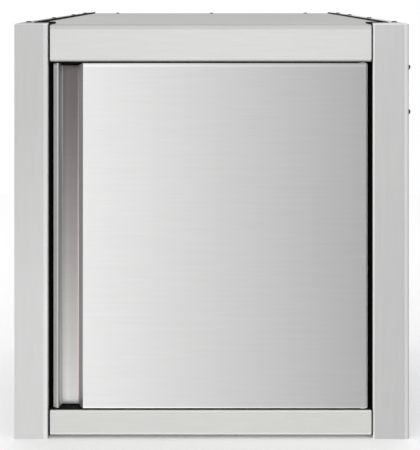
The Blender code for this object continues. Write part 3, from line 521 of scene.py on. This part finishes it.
# How the brushed sheets of one kind look, where a sheet has nothing of its own
SIDE_SHEET = dict(grain=(700.0, 700.0, 6.0), roughness=0.46, anisotropy=0.55, satin_share=0.2)
RAIL_SHEET = dict(grain=(8.0, 700.0, 700.0), roughness=0.50, anisotropy=0.0, satin_share=0.45)
DOOR_SHEET = dict(grain=(5.0, 700.0, 700.0), roughness=0.36, anisotropy=0.80,
                  streak="upright")
CHANNEL_SHEET = dict(DOOR_SHEET, roughness=0.40, anisotropy=0.60, satin_share=0.3)
INNER_SHEET = dict(grain=(6.0, 6.0, 500.0), roughness=0.42, anisotropy=0.30)

# Heights between which the finger channel's painted shade runs
CHANNEL_HEAD, CHANNEL_FOOT = 0.570, 0.046

FINISHES = {}


def make_finishes():
    """Makes every finish. The shades paint light and shade; their places and levels were fitted
    to the photograph's tones.
    """
    colours = bpy.context.scene.cabinet_colours
    sizes = bpy.context.scene.cabinet_sizes

    def sheet(name, colour, kind, **looks):
        FINISHES[name] = brushed(name + "_steel", colour, **(kind | looks))

    # Painted light across the body, brighter towards the right
    across_body = Shade("X", LEFT_LOW.x, RIGHT_HIGH.x, 0.95, 1.19)
    # Left side: a painted highlight beside the stile's inner bend, painted shade towards the top and
    # painted highlights on the bends
    sheet("left_side", colours.body_steel, SIDE_SHEET, worn=0.62, shades=[
        across_body,
        edge_shade("X", LEFT_HIGH.x, -0.0085, -0.0042, 1.21),
        Shade("Z", 0.50, 0.22, 0.91, 1.04)])
    # Right side: a painted highlight and a painted dark line beside the outer bend, lighter towards
    # the top and painted highlights on the bends
    sheet("right_side", colours.body_steel, SIDE_SHEET, worn=0.95, shades=[
        across_body,
        edge_shade("X", RIGHT_HIGH.x, -0.0080, -0.0062, 1.20),
        edge_shade("X", RIGHT_HIGH.x, -0.0036, -0.0018, 0.8333),
        Shade("Z", 0.60, 0.05, 1.045, 0.965)])
    # Rail: painted light brighter towards the right, a painted highlight by the lower bend and
    # painted highlights on the bends
    sheet("rail", colours.rail_steel, RAIL_SHEET, worn=0.25, shades=[
        Shade("X", -RIGHT_LOW.x, RIGHT_LOW.x, 0.98, 1.19),
        edge_shade("Z", FLOOR_LOW.z, 0.0065, 0.0047, 1.16)])
    # Top: painted light brighter towards the right, painted shade on the fascia's upper band and
    # painted shade on the bends
    sheet("top", colours.top_steel, RAIL_SHEET, worn=-0.30, shades=[
        Shade("X", -RIGHT_LOW.x, RIGHT_LOW.x, 0.98, 1.23),
        edge_shade("Z", FRONT_HEIGHT, -0.0095, -0.0080, 0.85)])
    sheet("slope", colours.top_steel, RAIL_SHEET, worn=0.0)
    # Door: a painted highlight under the top bend, painted shade on the top bend, a painted highlight
    # over the lower bend and painted highlights on the bends
    sheet("door", colours.door_steel, DOOR_SHEET, depth=0.000006, worn=0.60, shades=[
        edge_shade("Z", SKIN_HIGH.z, -0.0070, -0.0057, 1.16),
        edge_shade("Z", SKIN_HIGH.z, -0.0036, -0.0014, 0.55),
        edge_shade("Z", SKIN_LOW.z, 0.0040, 0.0025, 1.18)])
    # Crest: a darker colour as painted shade, and faint painted highlights on its bends
    sheet("crest", colours.crest_steel, DOOR_SHEET, worn=0.10)

    channel_left = SKIN_LOW.x + sizes.lip_width + sizes.channel_bend
    # Painted light along the channel floor's left side, fading out between these two places
    painted_light_start, painted_light_end = channel_left + 0.001, channel_left + 0.013
    # Channel floor: painted shade, dark at the head and light at the foot, with a painted highlight
    # at the foot and painted light along its left side
    sheet("channel", colours.channel_steel, CHANNEL_SHEET, streak="level", worn=0.35,
          far_colour=colours.channel_foot_steel, shades=[
              edge_shade("Z", CHANNEL_FOOT, 0.010, 0.002, 1.41),
              Shade("X", painted_light_start, painted_light_end, 1.48, 1.0, curve=0.6),
              Shade("Z", CHANNEL_HEAD, CHANNEL_FOOT, 0.18, 0.97, curve=1.6)])
    # Fold between the floor and the inner wall: a painted highlight line, brighter towards the foot
    sheet("channel_fold", colours.channel_steel, CHANNEL_SHEET, streak="level", worn=0.0,
          shades=[Shade("Z", CHANNEL_HEAD, 0.220, 0.42, 1.43)])
    # Channel side by the lip: painted shade that lightens towards the foot, and painted shade on its
    # bend
    sheet("channel_side", colours.door_steel, CHANNEL_SHEET, worn=-0.12, satin_share=0.4, shades=[
        Shade("Z", CHANNEL_HEAD, CHANNEL_FOOT, 0.42, 1.08),
        Shade("Z", CHANNEL_HEAD, 0.380, 1.75, 1.0)])
    # Inner wall: painted shade, darker towards the foot, and painted highlights on its bends
    sheet("channel_wall", colours.door_steel, CHANNEL_SHEET, worn=0.60, shades=[
        Shade("Z", CHANNEL_HEAD, CHANNEL_FOOT, 0.68, 0.34)])
    sheet("inner", colours.body_steel, INNER_SHEET)

    FINISHES.update(
        fastener=plain_metal("fastener_steel", colours.fastener_steel, roughness=0.30),
        plate=plain_metal("plate_steel", (0.42, 0.42, 0.42), roughness=0.34,
                          grain=(8.0, 300.0, 300.0)),
        pin=plain_metal("pin_steel", (0.50, 0.50, 0.50), roughness=0.16,
                        grain=(300.0, 300.0, 900.0)),
        rubber=rubber_finish("black_rubber", colours.rubber, sheen=0.06),
        sealant=rubber_finish("dark_sealant", colours.rubber, sheen=0.0),
        plastic=moulded_plastic("black_plastic", (0.018, 0.018, 0.018), roughness=0.42),
        nylon=moulded_plastic("white_nylon", (0.78, 0.77, 0.72), roughness=0.38, grain=500.0),
        ferrite=moulded_plastic("magnet_ferrite", (0.045, 0.045, 0.05), roughness=0.60,
                                grain=1200.0),
        board=fibre_board("infill_board", (0.42, 0.33, 0.23)))


def finish_material(name):
    """The material of a finish. All of them are made when the first one is asked for."""
    if not FINISHES:
        make_finishes()
    return FINISHES[name]


# Pieces

class CABINET_OT_sides(bpy.types.Operator):
    """Folds the two side panels with their stiles, returns and flanges"""
    bl_idname = "cabinet.sides"
    bl_label = "Side panels"

    def execute(self, context):
        sizes = context.scene.cabinet_sizes
        corner_y = FRONT + sizes.stile_return
        rear = FRONT + DEPTH
        for side, hand, outer, inner in (("left_side", -1, LEFT_LOW.x, LEFT_HIGH.x),
                                         ("right_side", 1, RIGHT_HIGH.x, RIGHT_LOW.x)):
            flange = outer - hand * sizes.side_flange
            plan = np.array([
                (inner, corner_y), (inner, FRONT), (outer, FRONT), (outer, rear), (flange, rear)])
            count = len(plan)
            points = section_upright(plan, LEFT_LOW.z, top_height)
            points = np.vstack([points, (flange, corner_y, top_height(corner_y))])
            faces = [*strip_faces(count), [*range(count, 2 * count + 1)]]
            shell = add_piece(side + "_shell", points, faces, side, "cabinet",
                              [side + "_panel"])
            upright = [(index, count + index) for index in range(1, count - 1)]
            level = [(count + index, count + index + 1) for index in range(count - 1)]
            folds = [(*ends, sizes.side_bend) for ends in upright + level]
            folded_sheet(shell, folds, sizes.sheet, Vector((-hand, 0, 0)))
        return {"FINISHED"}


class CABINET_OT_rails(bpy.types.Operator):
    """Folds the sloping top with its fascia and the floor with its rail, notched at the stiles"""
    bl_idname = "cabinet.rails"
    bl_label = "Top and floor"

    def execute(self, context):
        sizes = context.scene.cabinet_sizes
        behind = FRONT + sizes.stile_return + CLEARANCE
        drop = sizes.sheet + CLEARANCE
        rear = PLATE_HIGH.y
        top = np.array([
            (FRONT + sizes.stile_return, FASCIA_FOOT), (FRONT, FASCIA_FOOT),
            (FRONT, top_height(FRONT, drop)), (behind, top_height(behind, drop)),
            (rear, top_height(rear, drop))])
        shell = folded_panel("top_shell", "top_panel", top, "top")
        shell.data.materials.append(finish_material("slope"))
        sloping = np.abs(face_values(shell.data, "normal")[:, 2]) > math.cos(SLOPE) - NEARLY
        shell.data.polygons.foreach_set("material_index", sloping.astype(np.int32))
        foot, rear = FLOOR_LOW.z + sizes.rail_clearance, FLOOR_HIGH.y
        floor = np.array([
            (FRONT + sizes.bottom_return, foot), (FRONT, foot), (FRONT, FLOOR_LIP),
            (behind, FLOOR_LIP), (rear, FLOOR_LIP), (rear, FLOOR_LIP - sizes.rear_fold)])
        folded_panel("floor_shell", "bottom_panel", floor, "rail")
        return {"FINISHED"}


def folded_panel(name, node, section, finish, step=3):
    """A panel from a section of (y, z) pairs carried across. Ahead of the pair number step the
    panel is as wide as the opening between the stiles, and behind it as wide as its node."""
    sizes = bpy.context.scene.cabinet_sizes
    low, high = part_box(node)
    front = section_across(section[:step + 1], LEFT_HIGH.x + sizes.latch_joint,
                           RIGHT_LOW.x - sizes.hinge_joint)
    rear = section_across(section[step:], low.x, high.x)
    ahead, back = step + 1, len(section) - step
    first = len(front)
    faces = [*strip_faces(ahead), *strip_faces(back, first)]
    # The rear strip's first quad also runs along the front strip's last pair of points
    faces[ahead - 1] = [first, step, ahead + step, first + back, first + back + 1, first + 1]
    shell = add_piece(name, np.vstack([front, rear]), faces, finish, "cabinet",
                      [node])
    folds = [(index, ahead + index, sizes.rail_bend) for index in range(1, step)]
    folds += [(first + index, first + back + index, sizes.rail_bend)
              for index in range(1, back - 1)]
    folded_sheet(shell, folds, sizes.sheet, Vector((0, 0, -1)))
    return shell


class CABINET_OT_seals(bpy.types.Operator):
    """Extrudes the door's seals: a flat foot on the stop strip and a rounded bulb"""
    bl_idname = "cabinet.seals"
    bl_label = "Seals"

    def execute(self, context):
        turn = np.linspace(0, math.pi, BULB_POINTS)
        bulb_shares = np.column_stack([0.36 * np.cos(turn), 0.30 + 0.70 * np.sin(turn)])
        foot_shares = np.array([(-0.5, 0.22), (-0.5, 0.0), (0.5, 0.0), (0.5, 0.22)])
        across_shares, depth_shares = np.vstack([bulb_shares, foot_shares]).T
        for node in ("latch_seal", "top_seal", "bottom_seal"):
            low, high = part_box(node)
            size, middle = high - low, (low + high) / 2
            depth = high.y - depth_shares * size.y
            if size.z > size.x:
                plan = np.column_stack([middle.x + across_shares * size.x, depth])
                points = section_upright(plan, low.z, high.z)
            else:
                section = np.column_stack([depth, middle.z + across_shares * size.z])
                points = section_across(section, low.x, high.x)
            faces = loop_faces(2, len(depth), closed=False)
            add_piece(node + "_bulb", points, faces, "rubber", "cabinet", [node])
        return {"FINISHED"}


class CABINET_OT_door(bpy.types.Operator):
    """Folds the door's skin: hinge edge, face, finger channel, lip and free edge"""
    bl_idname = "cabinet.door"
    bl_label = "Door skin"

    def execute(self, context):
        sizes = context.scene.cabinet_sizes
        front, rear = SKIN_LOW.y, SKIN_HIGH.y
        crest = SKIN_LOW.x + sizes.lip_width
        face_left = crest + sizes.channel_width
        floor_right = face_left - sizes.channel_slant
        floor = front + sizes.channel_depth
        lip = front + sizes.lip_setback
        plan = np.array([
            (SKIN_HIGH.x, rear), (SKIN_HIGH.x, front), (face_left, front), (floor_right, floor),
            (crest, floor), (crest, lip), (SKIN_LOW.x, lip + sizes.lip_fall), (SKIN_LOW.x, rear)])
        count = len(plan)
        points = np.vstack([
            section_upright(plan, SKIN_LOW.z, SKIN_HIGH.z),
            (floor_right, rear, SKIN_LOW.z), (floor_right, rear, SKIN_HIGH.z)])
        faces = [*strip_faces(count),
                 [0, 1, 2, 3, 2 * count],
                 [count, count + 1, count + 2, count + 3, 2 * count + 1]]
        shell = add_piece("door_shell", points, faces, "door", "door",
                          ["door_skin"])
        bends = [sizes.door_edge_bend, sizes.channel_bend, sizes.channel_bend,
                 sizes.channel_bend, sizes.crest_bend, sizes.lip_bend]
        folds = [(index, count + index, bend) for index, bend in enumerate(bends, start=1)]
        for start in (0, count):
            folds += [(start, start + 1, sizes.door_end_bend),
                      (start + 1, start + 2, sizes.door_end_bend)]
        folded_sheet(shell, folds, sizes.door_sheet, Vector((1, 0, 0)))
        x, y, _ = face_values(shell.data, "center").T
        inside = (x > crest - NEARLY) & (x < face_left) & (y > lip + sizes.lip_fall)
        bottom = inside & (y > floor - sizes.channel_bend)
        fold_share = 0.6
        # The channel's floor, wall, side, fold and the lip's crest get finishes with painted light
        # and shade
        zones = {
            "channel": bottom,
            "channel_wall": inside & ~bottom,
            "channel_side": inside & (x < crest + sizes.channel_bend),
            "crest": ~inside & (np.abs(x - crest) < sizes.crest_bend),
            "channel_fold": bottom & (x > floor_right - sizes.channel_bend * fold_share),
        }
        numbers = np.zeros(len(x), np.int32)
        for number, (finish, zone) in enumerate(zones.items(), start=1):
            shell.data.materials.append(finish_material(finish))
            numbers[zone] = number
        shell.data.polygons.foreach_set("material_index", numbers)
        return {"FINISHED"}


class CABINET_OT_lining(bpy.types.Operator):
    """Lines the door opening's folds with black rubber: an angle section carried round it. It also
    stands in for the shade in the gaps round the door
    """
    bl_idname = "cabinet.lining"
    bl_label = "Opening lining"

    def execute(self, context):
        sizes = context.scene.cabinet_sizes
        thick, leg, gap = sizes.lining, sizes.lining_leg, sizes.lining_gap
        start = FRONT + sizes.lining_setback
        end = FRONT + sizes.stile_return + sizes.lining_overrun
        section = np.array([
            (start, 0), (end, 0), (end, leg), (end - thick, leg), (end - thick, thick),
            (start + thick, thick), (start, thick / 2)])
        left, right = LEFT_HIGH.x + gap, RIGHT_LOW.x - gap
        low, high = FLOOR_LIP + gap, FASCIA_FOOT - gap
        corners = np.array([(left, low, 1, 1), (right, low, -1, 1),
                            (right, high, -1, -1), (left, high, 1, -1)])
        x = corners[:, :1] + corners[:, 2:3] * section[:, 1]
        z = corners[:, 1:2] + corners[:, 3:4] * section[:, 1]
        y = np.broadcast_to(section[:, 0], x.shape)
        points = np.stack([x, y, z], axis=2).reshape(-1, 3)
        # The black lining also stands in for the shade in the gaps round the door
        add_piece("gap_shade_lining", points, loop_faces(len(corners), len(section), closed=True),
                  "sealant", "cabinet")
        return {"FINISHED"}


class CABINET_OT_beads(bpy.types.Operator):
    """Lays dark sealant in the joints: up beside each rail, round the stile and up the flange"""
    bl_idname = "cabinet.beads"
    bl_label = "Sealant beads"

    def execute(self, context):
        sizes = context.scene.cabinet_sizes
        # The radius as a share of the joint, and two distances as shares of the radius
        radius_share, sunk_share, resting_share = 0.48, 1.6, 0.6
        for hand, side, stile, edge, width in (
                (-1, "left", LEFT_HIGH.x, LEFT_LOW.x, sizes.latch_joint),
                (1, "right", RIGHT_LOW.x, RIGHT_HIGH.x, sizes.hinge_joint)):
            radius = width * radius_share
            joint = stile - hand * width / 2
            sunk = FRONT + radius * sunk_share
            behind = FRONT + sizes.stile_return + radius * resting_share
            rear = FRONT + DEPTH - sizes.side_flange / 2
            along = edge - hand * (sizes.side_flange + radius * resting_share)
            path = np.array([
                (joint, sunk, FASCIA_FOOT),
                (joint, sunk, top_height(sunk)),
                (joint, behind, top_height(behind)),
                (along, behind, top_height(behind)),
                (along, rear, top_height(rear))])
            add_bead("upper_bead_" + side, path, radius)
            foot = np.array([(joint, sunk, FLOOR_LOW.z + sizes.rail_clearance),
                             (joint, sunk, FLOOR_LIP + radius)])
            add_bead("lower_bead_" + side, foot, radius)
        return {"FINISHED"}


def add_bead(name, path, radius, around=10):
    """A round bead along a path: at every point a ring is laid in the plane that halves the
    corner, stretched so that the bead keeps its radius."""
    steps = np.diff(path, axis=0)
    steps /= np.linalg.norm(steps, axis=1)[:, None]
    before = np.vstack([steps[:1], steps])
    along = before + np.vstack([steps, steps[-1:]])
    along /= np.linalg.norm(along, axis=1)[:, None]
    angle = np.linspace(0, 2 * math.pi, around, endpoint=False)[:, None]
    # Any direction that isn't along the first step gives the first ring's start
    first = np.cross(before[0], np.roll(before[0], 1) + (0.3, 0.5, 0.7))
    rings = []
    for direction, plane, centre in zip(before, along, path):
        first = first - direction * np.dot(first, direction)
        first = first / np.linalg.norm(first)
        ring = radius * (np.cos(angle) * first + np.sin(angle) * np.cross(direction, first))
        ring -= direction * (ring @ plane / np.dot(direction, plane))[:, None]
        rings.append(centre + ring)
    faces = loop_faces(len(path), around, closed=False)
    bead = add_piece(name, np.vstack(rings), faces, "sealant", "cabinet")
    bead.data.shade_smooth()


# A fastener's head: points round it, rings, how square its crown is, and the share of its height
# that its upright rim takes
HEAD_POINTS = 48
HEAD_RINGS = 20
CROWN_POWER = 2.6
RIM_SHARE = 0.25


def dome_head(node, axis, radius, height, dent):
    """A fastener's head over its node: a round grid that falls from a crown to an upright rim as
    the root of one less a power of the reach, less a dent given as a function of the place."""
    low, high = (np.array(corner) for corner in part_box(node))
    turn = np.linspace(0, 2 * math.pi, HEAD_POINTS, endpoint=False)
    reach_shares = np.concatenate([np.linspace(0.04, 0.96, HEAD_RINGS), [0.99, 1.0, 1.0]])
    lift_shares = (1 - reach_shares ** CROWN_POWER) ** 0.5 * (1 - RIM_SHARE) + RIM_SHARE
    lift_shares[-1] = 0
    x = reach_shares[:, None] * np.cos(turn)
    y = reach_shares[:, None] * np.sin(turn)
    z = lift_shares[:, None] - dent(x, y)
    grid = np.stack([x * radius, y * radius, z * height], axis=2).reshape(-1, 3)
    turned = grid @ np.array(Vector((0, 0, 1)).rotation_difference(axis).to_matrix()).T
    ahead = np.array(axis)
    place = np.where(ahead > NEARLY, high - turned.max(axis=0), low - turned.min(axis=0))
    place = np.where(np.abs(ahead) < NEARLY, (low + high) / 2, place)
    faces = loop_faces(len(reach_shares), HEAD_POINTS, closed=False)
    head = add_piece(node + "_head", turned + place, faces, "fastener", "cabinet",
                     [node])
    head.data.shade_smooth()


def hollow(reach, depth_share, width_share, steepness):
    """A hollow in shares of a head's height and radius: its depth times e to minus a power of
    the reach over its width."""
    return depth_share * np.exp(-(reach / width_share) ** steepness)


def ring_dent(x, y):
    """The hollow round a blind rivet's mandrel: a bowl with a stub left in its middle."""
    reach = np.hypot(x, y)
    return hollow(reach, 0.42, 0.40, 4) - hollow(reach, 0.30, 0.20, 6)


def cross_dent(x, y):
    """A cross recess: two crossing slots that end short of the rim."""
    narrow = np.minimum(np.abs(x), np.abs(y))
    wide = np.maximum(np.abs(x), np.abs(y))
    return hollow(narrow, 0.50, 0.13, 6) * hollow(wide, 1.0, 0.52, 10)


class CABINET_OT_fasteners(bpy.types.Operator):
    """Sets blind rivets on the flanges and cross-recessed screws in the side and the catch"""
    bl_idname = "cabinet.fasteners"
    bl_label = "Rivets and screws"

    def execute(self, context):
        sizes = context.scene.cabinet_sizes
        upward = Vector((0, -math.sin(SLOPE), math.cos(SLOPE)))
        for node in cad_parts:
            if "rivet" in node:
                dome_head(node, upward, sizes.rivet_radius, sizes.rivet_height, ring_dent)
            elif node.startswith("hinge_side_screw"):
                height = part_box(node)[1].x - RIGHT_HIGH.x
                dome_head(node, Vector((1, 0, 0)), sizes.side_screw_radius, height, cross_dent)
            elif node.startswith("catch_screw"):
                dome_head(node, Vector((0, 1, 0)), sizes.catch_screw_radius,
                          sizes.catch_screw_height, cross_dent)
        return {"FINISHED"}


NODE_FINISHES = {
    "inner": ("back_panel", "shelf", "shelf_stiffener", "latch_stop_strip", "hinge_stop_strip",
              "top_stop_strip", "bottom_stop_strip", "door_liner"),
    "plate": ("wall_fixing_rail", "left_shelf_bracket", "right_shelf_bracket",
              "upper_hinge_plate", "lower_hinge_plate", "hinge_stile_stiffener",
              "lower_pivot_block", "upper_pivot_block", "catch_strike"),
    "pin": ("lower_pivot_pin", "upper_pivot_pin"),
    "rubber": ("latch_seal", "top_seal", "bottom_seal"),
    "plastic": ("catch_housing",),
    "nylon": ("lower_pivot_bush", "upper_pivot_bush"),
    "ferrite": ("catch_magnet",),
    "board": ("door_infill",),
}

SOFTENED = {"inner", "plate", "plastic", "ferrite", "board"}


def soften(obj):
    """Rounds the edges of a piece by the width of a deburred edge."""
    edge = obj.modifiers.new("deburred edges", "BEVEL")
    edge.limit_method = "ANGLE"
    edge.angle_limit = SHARP_ANGLE
    edge.width = DEBURRED
    edge.segments = 2
    edge.harden_normals = True


class CABINET_OT_finishes(bpy.types.Operator):
    """Gives the frame's own pieces their finishes and soft bends"""
    bl_idname = "cabinet.finishes"
    bl_label = "Finishes"

    def execute(self, context):
        for finish, names in NODE_FINISHES.items():
            for name in names:
                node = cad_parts[name]
                node.data.materials.clear()
                node.data.materials.append(finish_material(finish))
                if finish in SOFTENED:
                    soften(node)
        return {"FINISHED"}


# Studio

# Where the front backdrop's brightness starts and stops to change, along X
FRONT_RAMP = (-1.6, 1.9)

# Lowest and highest corners of the backdrops, which only reflections see. The one under the
# bottom rail is a dark sheet in place of the shade under the rail, which its lower fold reflects.
RAIL_CARD_FRONT, RAIL_CARD_REAR = FRONT + 0.003, FRONT + 0.06
BACKDROPS = {
    "front_backdrop": ((-2.6, -2.6, -6), (2.6, -2.6, 7)),
    "rear_backdrop": ((-4, 2.6, 0.9), (4, 2.6, 6)),
    "right_backdrop": ((2.6, -2.3, -2), (2.6, 1.5, 4)),
    "left_backdrop": ((-2.6, -2.3, -2), (-2.6, -0.35, 4)),
    "rail_backdrop": ((PLATE_LOW.x, RAIL_CARD_FRONT, CLEARANCE),
                      (PLATE_HIGH.x, RAIL_CARD_REAR, CLEARANCE)),
}
DARK_LEVEL, GREY_LEVEL = 0.06, 0.40
FLOOR_REACH = 9

# Soft lights: name, place and size, and the shares of the key light's power that they give
LIGHTS = (
    ("key_light", (-1.7, -1.6, 2.4), 1.4),
    ("fill_light", (1.9, -1.2, 1.8), 1.2),
)
POWER_SHARES = (1.0, 0.45)
LIT_PLACE = Vector((0, 0, 0.35))

# The camera's focal length and film width in millimetres, and the shift of its frame
FOCAL_LENGTH, FILM_WIDTH = 36.30, 36.0
SHIFT_ACROSS, SHIFT_UP = -0.0033, -0.1114


def backdrop_emission(name, level, right_level=None):
    """An emission material for a backdrop. Where right_level is given, the level runs to it
    along X, from Object coordinates."""
    material = bpy.data.materials.new(name)
    material.use_nodes = True
    tree = material.node_tree
    tree.nodes.clear()
    output = tree.nodes.new("ShaderNodeOutputMaterial")
    emission = tree.nodes.new("ShaderNodeEmission")
    emission.inputs["Strength"].default_value = level
    tree.links.new(emission.outputs[0], output.inputs["Surface"])
    if right_level is not None:
        place = tree.nodes.new("ShaderNodeTexCoord")
        split = tree.nodes.new("ShaderNodeSeparateXYZ")
        ranged = tree.nodes.new("ShaderNodeMapRange")
        for key, value in zip(RANGE_INPUTS, (*FRONT_RAMP, level, right_level)):
            ranged.inputs[key].default_value = value
        tree.links.new(place.outputs["Object"], split.inputs[0])
        tree.links.new(split.outputs["X"], ranged.inputs["Value"])
        tree.links.new(ranged.outputs["Result"], emission.inputs["Strength"])
    return material


def stage_sheet(name, low, high, material, reflected=True):
    """A flat sheet from its lowest and highest corners, which have one coordinate alike. Where
    reflected is set, only reflections see it."""
    corners = np.array([low, low, high, high], float)
    across = np.flatnonzero(corners[0] != corners[2])[0]
    corners[[1, 3], across] = corners[[2, 0], across]
    mesh = bpy.data.meshes.new(name)
    mesh.from_pydata(corners.tolist(), [], [(0, 1, 2, 3)])
    mesh.materials.append(material)
    sheet = bpy.data.objects.new(name, mesh)
    bpy.context.scene.collection.objects.link(sheet)
    if reflected:
        sheet.visible_camera = sheet.visible_diffuse = False
        sheet.visible_shadow = sheet.visible_transmission = False
    return sheet


class CABINET_OT_studio(bpy.types.Operator):
    """Sets up the floor, the backdrops, the soft lights, the world and the camera"""
    bl_idname = "cabinet.studio"
    bl_label = "Studio"

    def execute(self, context):
        scene = context.scene
        studio = scene.cabinet_studio
        for name, *levels in (
                ("front_backdrop", studio.left_level, studio.right_level),
                ("rear_backdrop", studio.rear_level), ("right_backdrop", DARK_LEVEL),
                ("left_backdrop", GREY_LEVEL), ("rail_backdrop", DARK_LEVEL)):
            stage_sheet(name, *BACKDROPS[name], backdrop_emission(name, *levels))

        ground = Nodes("studio_floor")
        ground.set(Base_Color=(0.98, 0.98, 0.98, 1.0), Roughness=0.9, Specular_IOR_Level=0.0)
        floor = stage_sheet("studio_floor", (-FLOOR_REACH, -FLOOR_REACH, 0),
                            (FLOOR_REACH, FLOOR_REACH, 0), ground.material, reflected=False)
        floor.visible_glossy = False

        scene.world = bpy.data.worlds.new("studio")
        scene.world.use_nodes = True
        background = scene.world.node_tree.nodes["Background"]
        background.inputs["Color"].default_value = (1, 1, 1, 1)
        background.inputs["Strength"].default_value = studio.fill_level

        for (name, place, size), share in zip(LIGHTS, POWER_SHARES):
            lamp = bpy.data.lights.new(name, "AREA")
            lamp.energy = studio.key_power * share
            lamp.size = size
            light = bpy.data.objects.new(name, lamp)
            light.visible_glossy = False
            light.location = place
            aim = (LIT_PLACE - light.location).to_track_quat("-Z", "Y")
            light.rotation_euler = aim.to_euler()
            scene.collection.objects.link(light)

        camera = bpy.data.cameras.new("camera")
        camera.lens = FOCAL_LENGTH
        camera.sensor_width = FILM_WIDTH
        camera.shift_x = SHIFT_ACROSS
        camera.shift_y = SHIFT_UP
        eye = bpy.data.objects.new("camera", camera)
        eye.location = (0, FRONT - studio.eye_distance, studio.eye_height)
        eye.rotation_euler = (math.pi / 2, 0, 0)
        scene.collection.objects.link(eye)
        scene.camera = eye
        scene.view_settings.view_transform = "Standard"
        return {"FINISHED"}


class CABINET_PT_panel(bpy.types.Panel):
    """Lists the operators and the settings"""
    bl_idname = "CABINET_PT_panel"
    bl_label = "Steel Wall Cabinet"
    bl_space_type = "VIEW_3D"
    bl_region_type = "UI"
    bl_category = "Cabinet"

    def draw(self, context):
        for operator in OPERATORS:
            self.layout.operator(operator.bl_idname)
        for name in SETTINGS:
            settings = getattr(context.scene, name)
            box = self.layout.box()
            for key in settings.__annotations__:
                box.prop(settings, key)


OPERATORS = (
    CABINET_OT_sides,
    CABINET_OT_rails,
    CABINET_OT_seals,
    CABINET_OT_door,
    CABINET_OT_lining,
    CABINET_OT_beads,
    CABINET_OT_fasteners,
    CABINET_OT_finishes,
    CABINET_OT_studio,
)
SETTINGS = {
    "cabinet_sizes": CabinetSizes,
    "cabinet_colours": CabinetColours,
    "cabinet_studio": StudioSettings,
}


def register():
    for name, settings in SETTINGS.items():
        bpy.utils.register_class(settings)
        setattr(bpy.types.Scene, name, PointerProperty(type=settings))
    for operator in OPERATORS:
        bpy.utils.register_class(operator)
    bpy.utils.register_class(CABINET_PT_panel)


def unregister():
    bpy.utils.unregister_class(CABINET_PT_panel)
    for operator in reversed(OPERATORS):
        bpy.utils.unregister_class(operator)
    for name, settings in SETTINGS.items():
        delattr(bpy.types.Scene, name)
        bpy.utils.unregister_class(settings)


def main():
    register()
    for operator in OPERATORS:
        group, name = operator.bl_idname.split(".")
        getattr(getattr(bpy.ops, group), name)()


if __name__ == "__main__":
    main()
